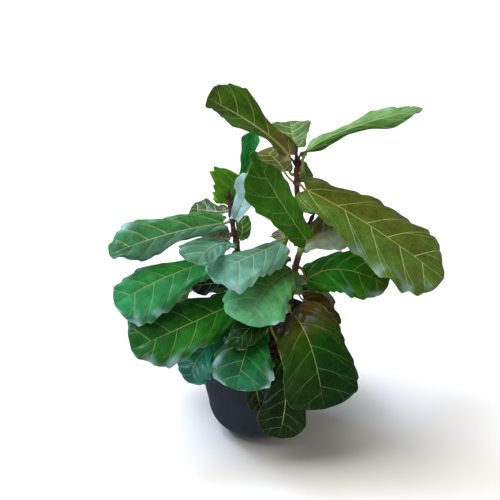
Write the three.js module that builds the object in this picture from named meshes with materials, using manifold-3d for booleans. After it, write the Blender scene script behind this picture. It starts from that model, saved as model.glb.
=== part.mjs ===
// A potted fiddle leaf fig, standing on the ground.
// Millimetres, +Z up. The origin is the centre of the flat underside of the pot.
// -Y is the side that the plant shows to its viewer, and +X is on the viewer's right.
//
// The pot is turned and round-bottomed, and is filled with potting mix. Three woody stems stand in
// sockets of the mix, each with a bud at its growing tip. Each leaf is one plate with its own petiole,
// and the petiole's foot stops a hair's breadth short of the bark.

import * as THREE from 'three';
import { mergeVertices } from 'three/addons/utils/BufferGeometryUtils.js';
import Module from 'manifold-3d';

const wasm = await Module();
wasm.setup();

// ---------------------------------------------------------------- driving dimensions (mm)

const SEAT_GAP = 0.3; // clear gap between pieces that rest on each other

// pot
const POT_HEIGHT = 219;
const POT_FOOT_RADIUS = 37; // flat underside, inside the round bottom edge
const POT_ROUND = 60; // radius of the round bottom edge
const POT_RIM_RADIUS = 130; // a 260 mm pot
const POT_WALL = 4;
const POT_FLOOR = 5;
const LIP_HEIGHT = 14;
const LIP_THICKNESS = 7;
const LIP_STEP = 1; // the lip stands this far out of the slope of the wall
const LIP_BEVEL = 2; // bevel of the lip's edges
const POT_SEGMENTS = 36;

// soil
const SOIL_LEVEL = 194;
const SOIL_CROWN = 4; // the mix stands this much higher in the middle
const CROWN_BREAK = 0.6; // the crown gets flatter inside this share of the radius
const SOCKET_DEPTH = 60;

// stems: each one's axis from its top down to the soil, and its radius at the top and at the soil
const STEM_SIDES = 10;
const STEMS = {
  main: {
    axis: [[67, 0, 554], [68, 0, 505], [78, 2, 434], [81, 0, 401], [72, 0, 367], [67, 0, 340], [48, 0, 194]],
    top: 4.5,
    foot: 7.5,
  },
  left: {
    axis: [[-52, 0, 487], [-47, 0, 433], [-40, 0, 394], [-25, 0, 194]],
    top: 4.2,
    foot: 8,
  },
  middle: {
    axis: [[50, 0, 419], [48, 0, 398], [32, 0, 294], [15, 0, 194]],
    top: 3.5,
    foot: 6.5,
  },
};
const HALVINGS = 30; // steps of the search for the place on an axis at a given height
const SIDE_SHOOT = { axis: [[80, 2, 404], [90, 14, 427], [102, 20, 450]], foot: 4, top: 3 };

// buds: a pointed cone of folded sheaths above each growing tip
const BUDS = {
  main: { length: 34, radius: 5.5, lean: [-2, -2] },
  left: { length: 18, radius: 5, lean: [-2, 0] },
  middle: { length: 16, radius: 4, lean: [1, -1] },
};
const BUD_SIDES = 10;
const BUD_PROFILE = [[0, 0], [0.75, 0], [1, 0.2], [0.6, 0.6], [0, 1]]; // shares of radius, length

// leaves
const LEAF_THICKNESS = 1.2;
const PETIOLE_RADIUS = 2.4;
const PETIOLE_SIDES = 5;
const MIDRIB_END_RADIUS = 0.9;
const MIDRIB_DROP = 0.8; // the midrib lies this far below the middle of the plate
const PETIOLE_STEPS = 3;
const PETIOLE_FOOT = 1.5; // straight stretch at the bark
const MIDRIB_STOPS = [0.06, 0.16]; // the midrib thins out at these shares of the blade
const WAVES = 3; // waves of the margin from base to tip
const SIDE_STEP = 0.35; // the right margin's waves start this much later than the left one's
const PHASE_STEP = 0.37; // each leaf's waves start this much later than the last one's
const LARGE_LEAF = 80; // total width from which a leaf gets a finer grid

// The flat outline of a fiddle leaf, from its base to its tip, for a blade of length 1 and half
// width 1. A row starts on the midrib at ROW_AT and meets the margin at MARGIN_X, MARGIN_Y.
// The two lobes reach back past the base, there is a waist, and the end is broad.
const ROW_AT = [0, 0.015, 0.04, 0.08, 0.14, 0.22, 0.32, 0.42, 0.52, 0.62, 0.72, 0.82, 0.91, 1];
const MARGIN_X = [0, -0.045, -0.03, 0.04, 0.13, 0.24, 0.38, 0.51, 0.63, 0.74, 0.84, 0.92, 0.975, 1];
const MARGIN_Y = [0, 0.22, 0.4, 0.48, 0.5, 0.53, 0.65, 0.81, 0.94, 1, 0.95, 0.8, 0.52, 0];
const LAST_ROW = ROW_AT.length - 1;
const LATE_SLANT = 0.25; // this share of a row's slant towards the tip comes near the margin
const WAIST = { at: 0.22, reach: 0.15 };
const SHOULDER = { at: 0.86, reach: 0.13 };
// near the base the fold grows from atBase to whole over the share base of the length, and before
// the tip it dies out over the share tip, to nothing at past
const FADE = { base: 0.06, atBase: 0.4, tip: 0.12, past: 1.02 };
const CALM_ROWS = 1.5; // the margin's waves die out over this many rows before the tip
const NOT_ZERO = 1e-9; // lets a blade without bend be divided by its bend
const ROWS = [0, 0.8, 2, 4, 6, 8, 9.7, 11, 12.2, LAST_ROW];
const COLUMNS_LARGE = [-1, -0.55, 0, 0.55, 1];
const COLUMNS_SMALL = [-1, 0, 1];

// One leaf. stem and node say which stem carries it and how high; base, middle and tip are three
// points of the blade's midrib. The shape is given as [left, right] of the midrib, as seen from
// above with the tip ahead: half widths, the fold at the midrib and the further bend out to the
// margin in degrees (positive rises), and how much wider than usual the waist and shoulder are.
// face is the way the upper side looks, and ruffle is the height of the waves of the margin.
function leaf(name, stem, node, base, middle, tip, shape) {
  return { name, stem, node, base, middle, tip, waist: [1, 1], shoulder: [1, 1], ...shape };
}

const LEAVES = [
  leaf('leaf_top_left', 'main', 535, [53, 0, 573], [0, 10, 620], [-90, 10, 676], {
    half: [34, 58], face: [0.15, -0.6, 0.8], fold: [-80, 5], bend: [-10, -25],
    waist: [1, 0.65], shoulder: [0.6, 0.85], ruffle: 6 }),
  leaf('leaf_top_right', 'main', 541, [80, -10, 584], [160, -10, 629], [280, -10, 664], {
    half: [40, 21], face: [-0.35, 0.35, 0.9], fold: [20, -40], bend: [0, -10],
    waist: [1.3, 1.2], ruffle: 4 }),
  leaf('leaf_crown_back', 'main', 545, [66, 26, 576], [60, 52, 592], [56, 78, 606], {
    half: [40, 36], face: [0, -0.7, 0.8], fold: [10, 10], bend: [0, 0],
    waist: [1.2, 1.2], shoulder: [0.85, 0.8], ruffle: 3 }),
  leaf('leaf_crown_left', 'main', 519, [45, 20, 534], [30, 60, 539], [8, 92, 544], {
    half: [36, 36], face: [-0.3, 0.3, 1], fold: [5, 5], bend: [-10, -10],
    ruffle: 3 }),
  leaf('leaf_crown_right', 'main', 524, [78, 20, 547], [82, 27, 530], [84, 31, 506], {
    half: [15, 17], face: [0.1, -0.9, 0.3], fold: [5, 5], bend: [0, 0],
    ruffle: 2 }),
  leaf('leaf_big_right', 'main', 519, [85, -20, 514], [195, -60, 464], [325, -100, 379], {
    half: [72, 76], face: [0.35, -0.55, 0.8], fold: [8, 8], bend: [-15, -25],
    waist: [1.25, 1.15], shoulder: [0.55, 0.85], ruffle: 7 }),
  leaf('leaf_upright_centre', 'main', 404, [85, -26, 419], [25, -82, 542], [-9, -86, 617], {
    half: [50, 28], face: [0.1, -0.9, 0.3], fold: [15, 15], bend: [-15, -15],
    waist: [1, 1.4], shoulder: [0.3, 0.15], ruffle: 5 }),
  leaf('leaf_right_lower', 'main', 349, [90, -5, 324], [150, -30, 360], [235, -50, 336], {
    half: [52, 48], face: [0.1, -0.6, 0.8], fold: [5, 5], bend: [-15, -25],
    waist: [1.2, 1.7], shoulder: [1, 0.75], ruffle: 5 }),
  leaf('leaf_right_tucked', 'main', 299, [85, -10, 283], [112, -22, 268], [122, -38, 232], {
    half: [38, 38], face: [0.3, -0.6, 0.6], fold: [5, 5], bend: [-15, -25],
    waist: [1.3, 1], ruffle: 4 }),
  leaf('leaf_hanging_front_right', 'main', 269, [60, -62, 287], [92, -145, 267], [118, -155, 139], {
    half: [72, 66], face: [0.05, -0.85, 0.5], fold: [5, 5], bend: [-20, -20],
    waist: [1.5, 1.5], shoulder: [1.15, 1.15], ruffle: 2 }),
  leaf('leaf_centre_upper', 'middle', 404, [40, -27, 414], [-34, -80, 405], [-89, -118, 400], {
    half: [54, 34], face: [-0.1, -0.5, 0.85], fold: [5, 4], bend: [-20, -20],
    waist: [1.5, 0.7], shoulder: [0.7, 0.9], ruffle: 6 }),
  leaf('leaf_centre_lower', 'middle', 349, [60, -30, 359], [10, -90, 349], [-20, -125, 299], {
    half: [60, 64], face: [-0.1, -0.5, 0.85], fold: [5, 12], bend: [-25, -20],
    waist: [1.2, 1], shoulder: [0.7, 1.1], ruffle: 5 }),
  leaf('leaf_left_folded', 'left', 399, [-50, -20, 409], [-84, -112, 448], [-104, -159, 439], {
    half: [26, 50], face: [-0.1, -0.5, 0.85], fold: [-40, 10], bend: [-10, -20],
    waist: [1, 0.8], ruffle: 5 }),
  leaf('leaf_left_long', 'left', 444, [-66, -10, 444], [-170, -26, 428], [-269, -45, 398], {
    half: [32, 50], face: [-0.1, -0.6, 0.8], fold: [-15, 8], bend: [-15, -20],
    waist: [1, 1.2], shoulder: [0.5, 0.85], ruffle: 6 }),
  leaf('leaf_left_broad', 'left', 354, [-85, -20, 374], [-180, -60, 354], [-260, -80, 314], {
    half: [64, 44], face: [-0.1, -0.6, 0.8], fold: [0, 10], bend: [-20, -20],
    ruffle: 5 }),
  leaf('leaf_left_low', 'left', 289, [-35, -40, 299], [-146, -100, 276], [-229, -130, 251], {
    half: [58, 70], face: [-0.1, -0.65, 0.75], fold: [4, 8], bend: [-20, -20],
    waist: [1.5, 1], shoulder: [0.65, 1.1], ruffle: 5 }),
  leaf('leaf_centre_tucked', 'middle', 279, [25, -50, 304], [-10, -105, 289], [-50, -135, 264], {
    half: [28, 26], face: [-0.2, -0.6, 0.75], fold: [8, 8], bend: [-15, -20],
    ruffle: 4 }),
  leaf('leaf_hanging_front_left', 'left', 244, [3, -52, 250], [-21, -125, 251], [-40, -165, 188], {
    half: [62, 58], face: [-0.1, -0.8, 0.5], fold: [8, 8], bend: [-20, -25],
    waist: [1, 1.1], shoulder: [1.1, 1.1], ruffle: 4 }),
  leaf('leaf_front_left_small', 'left', 229, [-62, -70, 247], [-108, -104, 219], [-128, -112, 167], {
    half: [36, 36], face: [-0.3, -0.7, 0.6], fold: [8, 8], bend: [-15, -20],
    ruffle: 4 }),
  leaf('leaf_hanging_front', 'middle', 228, [42, -136, 231], [48, -160, 163], [36, -148, 69], {
    half: [44, 48], face: [0, -0.95, 0.2], fold: [-4, -4], bend: [-15, -20],
    waist: [1.3, 1.3], shoulder: [1.05, 1.05], ruffle: 1.5 }),
  leaf('leaf_front_narrow', 'middle', 217, [2, -134, 229], [-4, -142, 181], [6, -136, 119], {
    half: [24, 22], face: [-0.2, -0.95, 0.2], fold: [8, 8], bend: [-8, -8],
    ruffle: 1.5 }),
  leaf('leaf_young_lobed', 'left', 479, [-59, 10, 473], [-48, 15, 498], [-32, 18, 524], {
    half: [52, 16], face: [0.3, -0.9, 0.2], fold: [5, 5], bend: [0, 0],
    waist: [1.1, 1.4], shoulder: [1.3, 1.1], ruffle: 8 }),
  leaf('leaf_young_pale', 'left', 454, [-44, -16, 457], [-27, -30, 504], [-16, -36, 553], {
    half: [22, 26], face: [-0.2, -0.8, 0.5], fold: [10, 10], bend: [0, 0],
    ruffle: 4 }),
  leaf('leaf_young_upright', 'left', 469, [-42, 24, 479], [-25, 48, 539], [-15, 48, 597], {
    half: [18, 16], face: [0.2, -0.9, 0.3], fold: [40, 40], bend: [0, 0],
    waist: [0.6, 0.6], shoulder: [1.6, 1.5], ruffle: 4 }),
  leaf('leaf_left_behind', 'left', 459, [-60, 30, 449], [-87, 60, 434], [-128, 95, 423], {
    half: [26, 24], face: [-0.3, -0.4, 1], fold: [5, 5], bend: [0, 0],
    shoulder: [1.2, 1.2], ruffle: 5 }),
  leaf('leaf_left_inner', 'left', 404, [-35, 10, 404], [-30, 35, 409], [-35, 60, 424], {
    half: [13, 18], face: [0.2, -0.7, 0.7], fold: [5, 5], bend: [0, 0],
    waist: [1.5, 1.5], ruffle: 3 }),
  leaf('leaf_left_inner_small', 'left', 419, [-55, 15, 399], [-70, 40, 389], [-85, 60, 389], {
    half: [25, 25], face: [-0.2, -0.3, 1], fold: [5, 5], bend: [0, 0],
    ruffle: 3 }),
  leaf('leaf_right_inner', 'main', 384, [80, 17, 384], [115, 30, 395], [165, 40, 404], {
    half: [50, 36], face: [0.1, -0.7, 0.8], fold: [0, 10], bend: [10, -20],
    ruffle: 3 }),
  leaf('leaf_middle_inner', 'middle', 409, [45, 15, 394], [44, 40, 394], [35, 60, 394], {
    half: [22, 22], face: [-0.2, -0.3, 1], fold: [5, 5], bend: [0, 0],
    ruffle: 3 }),
  leaf('leaf_left_shaded', 'left', 319, [-55, -8, 323], [-85, -20, 325], [-125, -30, 325], {
    half: [24, 26], face: [-0.2, -0.5, 0.9], fold: [5, 5], bend: [0, 0],
    ruffle: 3 }),
  leaf('leaf_back_right_high', 'main', 459, [85, 20, 464], [145, 90, 444], [220, 150, 384], {
    half: [50, 50], face: [0.3, 0.3, 1], fold: [8, 8], bend: [-15, -15],
    ruffle: 5 }),
  leaf('leaf_back_left_high', 'left', 379, [-55, 20, 349], [-130, 80, 314], [-215, 120, 229], {
    half: [60, 60], face: [-0.3, 0.4, 1], fold: [8, 8], bend: [-15, -15],
    ruffle: 5 }),
  leaf('leaf_back_centre_high', 'middle', 339, [15, 25, 329], [5, 100, 314], [10, 165, 269], {
    half: [60, 60], face: [0, 0.4, 1], fold: [8, 8], bend: [-15, -15],
    ruffle: 5 }),
  leaf('leaf_back_right_low', 'main', 324, [82, 20, 299], [112, 75, 259], [130, 112, 179], {
    half: [44, 36], face: [0.3, 0.4, 1], fold: [8, 8], bend: [-15, -15],
    ruffle: 5 }),
  leaf('leaf_back_left_low', 'left', 269, [-45, 25, 264], [-120, 90, 269], [-185, 140, 179], {
    half: [60, 60], face: [-0.3, 0.5, 0.9], fold: [8, 8], bend: [-15, -15],
    ruffle: 5 }),
  leaf('leaf_back_centre_low', 'middle', 259, [22, 30, 269], [55, 115, 269], [70, 180, 184], {
    half: [50, 50], face: [0.1, 0.6, 0.9], fold: [8, 8], bend: [-15, -15],
    ruffle: 5 }),
];

// ---------------------------------------------------------------- finishes

const finish = (color, roughness) => new THREE.MeshStandardMaterial({ color, roughness, metalness: 0 });
const POT_COLOUR = 0x262e3c;
const SOIL_COLOUR = 0x2e231b;
const BARK_COLOUR = 0x5a4030;
const BUD_COLOUR = 0x3c1d18;
const LEAF_COLOUR = 0x2f5a1c;

// ---------------------------------------------------------------- solids

const vec = (p) => new THREE.Vector3(...p);

// a three.js geometry as a solid that can be joined and cut
function solidOf(geometry) {
  const bare = geometry.clone();
  bare.deleteAttribute('normal');
  bare.deleteAttribute('uv');
  const merged = mergeVertices(bare, 1e-4);
  return new wasm.Manifold(new wasm.Mesh({
    numProp: 3,
    vertProperties: new Float32Array(merged.attributes.position.array),
    triVerts: new Uint32Array(merged.index.array),
  }));
}

function geometryOf(solid) {
  const mesh = solid.getMesh();
  const geometry = new THREE.BufferGeometry();
  geometry.setAttribute('position', new THREE.BufferAttribute(mesh.vertProperties, 3));
  geometry.setIndex(new THREE.BufferAttribute(mesh.triVerts, 1));
  geometry.computeVertexNormals();
  return geometry;
}

function geometryFrom(points, triangles) {
  const geometry = new THREE.BufferGeometry();
  const places = points.flatMap((p) => [p.x, p.y, p.z]);
  geometry.setAttribute('position', new THREE.Float32BufferAttribute(places, 3));
  geometry.setIndex(triangles);
  return geometry;
}

// A closed round bar: rings of the given radii about the points of a path, with a flat end at each
// end. Each ring is carried over from the one before, so the bar doesn't twist.
function bar(path, radii, sides) {
  const points = [];
  const triangles = [];
  let across = null;
  path.forEach((centre, i) => {
    const before = path[Math.max(i - 1, 0)];
    const after = path[Math.min(i + 1, path.length - 1)];
    const along = after.clone().sub(before).normalize();
    if (across === null) {
      across = Math.abs(along.y) < 0.9 ? new THREE.Vector3(0, 1, 0) : new THREE.Vector3(1, 0, 0);
    }
    across = across.clone().addScaledVector(along, -across.dot(along)).normalize();
    const other = along.clone().cross(across);
    for (let k = 0; k < sides; k += 1) {
      const turn = (2 * Math.PI * k) / sides;
      points.push(centre.clone()
        .addScaledVector(across, radii[i] * Math.cos(turn))
        .addScaledVector(other, radii[i] * Math.sin(turn)));
    }
  });
  const lastRing = (path.length - 1) * sides;
  for (let k = 0; k < sides; k += 1) {
    const next = (k + 1) % sides;
    for (let ring = 0; ring < lastRing; ring += sides) {
      triangles.push(ring + k, ring + next, ring + sides + next);
      triangles.push(ring + k, ring + sides + next, ring + sides + k);
    }
  }
  for (let k = 1; k < sides - 1; k += 1) {
    triangles.push(0, k + 1, k);
    triangles.push(lastRing, lastRing + k, lastRing + k + 1);
  }
  return geometryFrom(points, triangles);
}

// ---------------------------------------------------------------- pot and soil

// radius of the pot's outside at height z: a quarter round, then a straight slope to the rim
const WALL_BOTTOM_RADIUS = POT_FOOT_RADIUS + POT_ROUND;
const WALL_SLOPE = (POT_RIM_RADIUS - WALL_BOTTOM_RADIUS) / (POT_HEIGHT - POT_ROUND);
const wallRadius = (z) => WALL_BOTTOM_RADIUS + (z - POT_ROUND) * WALL_SLOPE;
const ROUND_STEPS = 6;

// points of the round bottom edge, shrunk inward by inset, from the foot up to the straight wall
function roundEdge(inset) {
  const points = [];
  for (let i = 0; i <= ROUND_STEPS; i += 1) {
    const turn = (i / ROUND_STEPS) * (Math.PI / 2);
    const radius = POT_ROUND - inset;
    points.push([POT_FOOT_RADIUS + radius * Math.sin(turn), POT_ROUND - radius * Math.cos(turn)]);
  }
  return points;
}

const lathe = (profile, segments) =>
  new THREE.LatheGeometry(profile.map(([r, z]) => new THREE.Vector2(r, z)), segments).rotateX(Math.PI / 2);

function makePot() {
  const lipBottom = POT_HEIGHT - LIP_HEIGHT;
  const lipTopInner = POT_RIM_RADIUS - LIP_THICKNESS;
  const inner = roundEdge(POT_WALL)
    .map(([r, z]) => [r, Math.max(z, POT_FLOOR)])
    .reverse();
  return lathe([
    [0, 0],
    ...roundEdge(0),
    [wallRadius(lipBottom) - LIP_STEP, lipBottom - LIP_BEVEL],
    [wallRadius(lipBottom) + LIP_STEP, lipBottom],
    [POT_RIM_RADIUS, POT_HEIGHT - LIP_BEVEL],
    [POT_RIM_RADIUS - LIP_BEVEL, POT_HEIGHT],
    [lipTopInner + LIP_BEVEL / 2, POT_HEIGHT],
    [lipTopInner, POT_HEIGHT - LIP_BEVEL / 2],
    [wallRadius(lipBottom) - POT_WALL, lipBottom - LIP_BEVEL],
    ...inner,
    [0, POT_FLOOR],
  ], POT_SEGMENTS);
}

function makeSoil() {
  const inset = POT_WALL + SEAT_GAP * 2;
  const soilFloor = POT_FLOOR + SEAT_GAP;
  const edge = roundEdge(inset).map(([r, z]) => [r, Math.max(z, soilFloor)]);
  const soilRadius = wallRadius(SOIL_LEVEL) - inset;
  const body = lathe([
    [0, soilFloor],
    ...edge,
    [soilRadius, SOIL_LEVEL],
    [soilRadius * CROWN_BREAK, SOIL_LEVEL + SOIL_CROWN * CROWN_BREAK],
    [0, SOIL_LEVEL + SOIL_CROWN],
  ], POT_SEGMENTS);
  return Object.values(STEMS).reduce(
    (soil, stem) => soil.subtract(solidOf(stemBar(stem, SEAT_GAP))), solidOf(body));
}

// ---------------------------------------------------------------- stems and buds

// a stem's axis as a smooth curve from the foot of its socket up to its tip
function stemCurve(stem) {
  const up = stem.axis.map(vec).reverse();
  const foot = up[0].clone();
  const lean = up[1].clone().sub(foot).normalize();
  const socketFoot = foot.clone().addScaledVector(lean, -SOCKET_DEPTH);
  return new THREE.CatmullRomCurve3([socketFoot, ...up], false, 'centripetal');
}

const STEM_STEP = 24; // length of one stretch of a stem

// grow widens the bar and lengthens its foot, to cut the socket for it
function stemBar(stem, grow = 0) {
  const curve = stemCurve(stem);
  const steps = Math.ceil(curve.getLength() / STEM_STEP);
  const path = curve.getSpacedPoints(steps);
  const radii = path.map((_, i) => grow + stem.foot + (stem.top - stem.foot) * (i / steps));
  if (grow > 0) {
    const down = path[0].clone().sub(path[1]).normalize();
    path[0].addScaledVector(down, grow);
  }
  return bar(path, radii, STEM_SIDES);
}

function makeStem(key) {
  const wood = solidOf(stemBar(STEMS[key]));
  if (key !== 'main') {
    return wood;
  }
  const path = SIDE_SHOOT.axis.map(vec);
  const radii = [SIDE_SHOOT.foot, SIDE_SHOOT.foot, SIDE_SHOOT.top];
  return wood.add(solidOf(bar(path, radii, STEM_SIDES)));
}

function makeBud(key) {
  const { length, radius, lean } = BUDS[key];
  const [x, y, z] = STEMS[key].axis[0];
  const cone = lathe(BUD_PROFILE.map(([r, up]) => [r * radius, up * length]), BUD_SIDES);
  const place = cone.attributes.position;
  for (let i = 0; i < place.count; i += 1) {
    const up = place.getZ(i);
    const tilt = up / length;
    place.setXYZ(
      i,
      x + place.getX(i) + lean[0] * tilt,
      y + place.getY(i) + lean[1] * tilt,
      z + SEAT_GAP * 2 + up,
    );
  }
  return solidOf(cone);
}

// ---------------------------------------------------------------- leaves

// a smooth curve through a list of evenly numbered values, read at a place between them
function smooth(values, at) {
  const i = Math.min(Math.floor(at), values.length - 2);
  const f = at - i;
  const p1 = values[i];
  const p2 = values[i + 1];
  const p0 = i === 0 ? 2 * p1 - p2 : values[i - 1];
  const p3 = i === values.length - 2 ? 2 * p2 - p1 : values[i + 2];
  return 0.5 * (2 * p1 + (p2 - p0) * f + (2 * p0 - 5 * p1 + 4 * p2 - p3) * f * f
    + (3 * p1 - p0 - 3 * p2 + p3) * f * f * f);
}

// the blade's midrib: the arc through its base, middle and tip
function midribCurve({ base, middle, tip }) {
  const pull = vec(middle).multiplyScalar(2)
    .addScaledVector(vec(base), -0.5)
    .addScaledVector(vec(tip), -0.5);
  return new THREE.QuadraticBezierCurve3(vec(base), pull, vec(tip));
}

// point, direction and upward normal of the midrib at x, a fraction of its length; a little before
// the base the line runs straight on
function midribFrame(item, curve, x) {
  const inside = THREE.MathUtils.clamp(x, 0, 1);
  const along = curve.getTangentAt(inside);
  const point = curve.getPointAt(inside).addScaledVector(along, (x - inside) * curve.getLength());
  const face = vec(item.face).normalize();
  const up = face.addScaledVector(along, -face.dot(along)).normalize();
  return { point, along, up };
}

// a rounded rise of height 1 at a place, which dies out over its reach
const bump = (x, { at, reach }) => Math.exp(-(((x - at) / reach) ** 2));

// A point of the blade. row runs 0..LAST_ROW from base to tip and t -1..1 from the left margin to
// the right one; lift is the height above the middle of the plate. Across the blade the surface is
// an arc: it leaves the midrib at the fold angle and turns evenly by the bend out to the margin.
// The fold fades at both ends of the blade, and the margin's waves fade at its first and last rows.
function bladePoint(item, curve, row, t, lift) {
  const side = t < 0 ? 0 : 1;
  const sign = t < 0 ? -1 : 1;
  const out = Math.abs(t);
  const at = smooth(ROW_AT, row);
  const wide = Math.max(smooth(MARGIN_Y, row), 0)
    * (1 + (item.waist[side] - 1) * bump(at, WAIST))
    * (1 + (item.shoulder[side] - 1) * bump(at, SHOULDER));
  const x = at + (smooth(MARGIN_X, row) - at) * out * (1 - LATE_SLANT + LATE_SLANT * out);
  const y = wide * out * item.half[side];
  const { point, along, up } = midribFrame(item, curve, x);
  const across = along.clone().cross(up);
  const opening = Math.min(x / FADE.base + FADE.atBase, (FADE.past - x) / FADE.tip);
  const fade = THREE.MathUtils.clamp(opening, 0, 1);
  const fold = THREE.MathUtils.degToRad(item.fold[side]) * fade;
  const turning = THREE.MathUtils.degToRad(item.bend[side]) / item.half[side] + NOT_ZERO;
  const angle = fold + turning * y;
  const sideways = (Math.sin(angle) - Math.sin(fold)) / turning;
  const height = (Math.cos(fold) - Math.cos(angle)) / turning;
  const ends = THREE.MathUtils.clamp((LAST_ROW - row) / CALM_ROWS, 0, 1)
    * THREE.MathUtils.clamp(row, 0, 1);
  const wave = WAVES * (row / LAST_ROW) + item.phase + SIDE_STEP * side;
  const ruffle = item.ruffle * out ** 3 * Math.sin(2 * Math.PI * wave) * ends;
  return point
    .addScaledVector(across, sign * (sideways - lift * Math.sin(angle)))
    .addScaledVector(up, height + ruffle + lift * Math.cos(angle));
}

// the blade as a closed plate: an upper and a lower grid that share only their rim's walls
function bladePlate(item, curve) {
  const columns = item.half[0] + item.half[1] >= LARGE_LEAF ? COLUMNS_LARGE : COLUMNS_SMALL;
  const points = [];
  const grids = [LEAF_THICKNESS / 2, -LEAF_THICKNESS / 2].map((lift) => ROWS.map((row) => {
    const isEnd = row === 0 || row === LAST_ROW;
    const index = points.length;
    if (isEnd) {
      points.push(bladePoint(item, curve, row, 0, lift));
      return columns.map(() => index);
    }
    columns.forEach((t) => points.push(bladePoint(item, curve, row, t, lift)));
    return columns.map((_, k) => index + k);
  }));
  const triangles = [];
  const face = (a, b, c) => {
    if (a !== b && b !== c && c !== a) {
      triangles.push(a, b, c);
    }
  };
  const quad = (a, b, c, d) => {
    face(a, b, c);
    face(a, c, d);
  };
  const [upper, lower] = grids;
  const rightmost = columns.length - 1;
  for (let r = 0; r < ROWS.length - 1; r += 1) {
    for (let k = 0; k < rightmost; k += 1) {
      quad(upper[r][k], upper[r][k + 1], upper[r + 1][k + 1], upper[r + 1][k]);
      quad(lower[r][k], lower[r + 1][k], lower[r + 1][k + 1], lower[r][k + 1]);
    }
    quad(upper[r][0], upper[r + 1][0], lower[r + 1][0], lower[r][0]);
    quad(upper[r][rightmost], lower[r][rightmost], lower[r + 1][rightmost], upper[r + 1][rightmost]);
  }
  return geometryFrom(points, triangles);
}

// the point on a stem's axis at height z, and the axis's direction there
function stemAt(key, z) {
  const curve = stemCurve(STEMS[key]);
  let low = 0;
  let high = 1;
  for (let i = 0; i < HALVINGS; i += 1) {
    const mid = (low + high) / 2;
    if (curve.getPointAt(mid).z < z) {
      low = mid;
    } else {
      high = mid;
    }
  }
  const stem = STEMS[key];
  return {
    centre: curve.getPointAt(low),
    axis: curve.getTangentAt(low),
    radius: stem.foot + (stem.top - stem.foot) * low,
  };
}

// The petiole leaves the bark squarely, bends to the blade's base and runs on under it as the
// midrib, which thins out.
function petioleBar(item, curve) {
  const { centre, axis, radius } = stemAt(item.stem, item.node);
  const base = curve.getPoint(0);
  const out = base.clone().sub(centre);
  out.addScaledVector(axis, -out.dot(axis)).normalize();
  const start = centre.clone().addScaledVector(out, radius + SEAT_GAP);
  const bend = start.clone().addScaledVector(out, PETIOLE_FOOT);
  const arm = base.distanceTo(bend) / 3;
  const first = midribFrame(item, curve, 0);
  const end = base.clone().addScaledVector(first.up, -MIDRIB_DROP);
  const neck = new THREE.CubicBezierCurve3(
    bend,
    bend.clone().addScaledVector(out, arm),
    end.clone().addScaledVector(first.along, -arm),
    end,
  );
  const path = [start, ...neck.getSpacedPoints(PETIOLE_STEPS)];
  const radii = path.map(() => PETIOLE_RADIUS);
  MIDRIB_STOPS.forEach((x, i) => {
    const { point, up } = midribFrame(item, curve, x);
    path.push(point.addScaledVector(up, -MIDRIB_DROP));
    const thin = (i + 1) / MIDRIB_STOPS.length;
    radii.push(PETIOLE_RADIUS + (MIDRIB_END_RADIUS - PETIOLE_RADIUS) * thin);
  });
  return bar(path, radii, PETIOLE_SIDES);
}

function makeLeaf(item) {
  const curve = midribCurve(item);
  return solidOf(bladePlate(item, curve)).add(solidOf(petioleBar(item, curve)));
}

// ---------------------------------------------------------------- the plant

const group = new THREE.Group();

function piece(name, geometry, material) {
  const mesh = new THREE.Mesh(geometry, material);
  mesh.name = name;
  group.add(mesh);
}

piece('pot', makePot(), finish(POT_COLOUR, 0.45));
piece('soil', geometryOf(makeSoil()), finish(SOIL_COLOUR, 0.95));
Object.keys(STEMS).forEach((key) => {
  piece(`stem_${key}`, geometryOf(makeStem(key)), finish(BARK_COLOUR, 0.85));
  piece(`bud_${key}`, geometryOf(makeBud(key)), finish(BUD_COLOUR, 0.6));
});
LEAVES.forEach((item, i) => {
  item.phase = (i * PHASE_STEP) % 1;
  piece(item.name, geometryOf(makeLeaf(item)), finish(LEAF_COLOUR, 0.4));
});

export default group;
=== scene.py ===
"""A potted fiddle leaf fig. Leathery, wavy leaves with pale veins stand on three woody stems, which
grow from bark potting mix in a round-bottomed slate planter.

Lengths are millimetres in the tables and formulas, and metres in the finished meshes. +Z is up, -Y
is the side the plant shows its viewer, and the origin is the centre of the planter's flat foot.
Every shape is a closed skin: rings of points carried along a line, worked out as whole arrays.
"""

import math

import bpy
import numpy as np
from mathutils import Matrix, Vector


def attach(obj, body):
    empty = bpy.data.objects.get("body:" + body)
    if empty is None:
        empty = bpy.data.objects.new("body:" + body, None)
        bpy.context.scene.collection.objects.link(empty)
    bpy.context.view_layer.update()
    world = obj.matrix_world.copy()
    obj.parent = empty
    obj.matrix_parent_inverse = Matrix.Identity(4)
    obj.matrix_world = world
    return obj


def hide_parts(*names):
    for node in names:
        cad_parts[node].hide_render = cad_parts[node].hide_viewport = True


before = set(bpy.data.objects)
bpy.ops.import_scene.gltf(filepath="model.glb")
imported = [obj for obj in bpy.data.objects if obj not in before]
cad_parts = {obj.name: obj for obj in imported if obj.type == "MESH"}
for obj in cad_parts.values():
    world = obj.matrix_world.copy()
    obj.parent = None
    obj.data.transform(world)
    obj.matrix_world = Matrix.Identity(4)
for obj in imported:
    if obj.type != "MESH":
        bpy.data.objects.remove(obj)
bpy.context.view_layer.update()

MM = 0.001

# ---------------------------------------------------------------- sizes (mm)

# planter
POT_HEIGHT = 219
POT_FOOT_RADIUS = 37
POT_ROUND = 60  # radius of the round bottom edge
POT_RIM_RADIUS = 130
POT_WALL = 4
POT_FLOOR = 5
LIP_HEIGHT = 14
LIP_THICKNESS = 7
LIP_ROUND = (2.5, 2)  # radius of the lip's upper edge, outside and inside

# potting mix
SOIL_LEVEL = 194
SOIL_CROWN = 4
SOCKET_DEPTH = 60
MIX_GAP = 0.6  # between the mix and the planter's wall
CHIPS = 520  # loose pieces of bark on top of the mix
CHIP_REACH = 112  # they lie this far out

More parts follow.
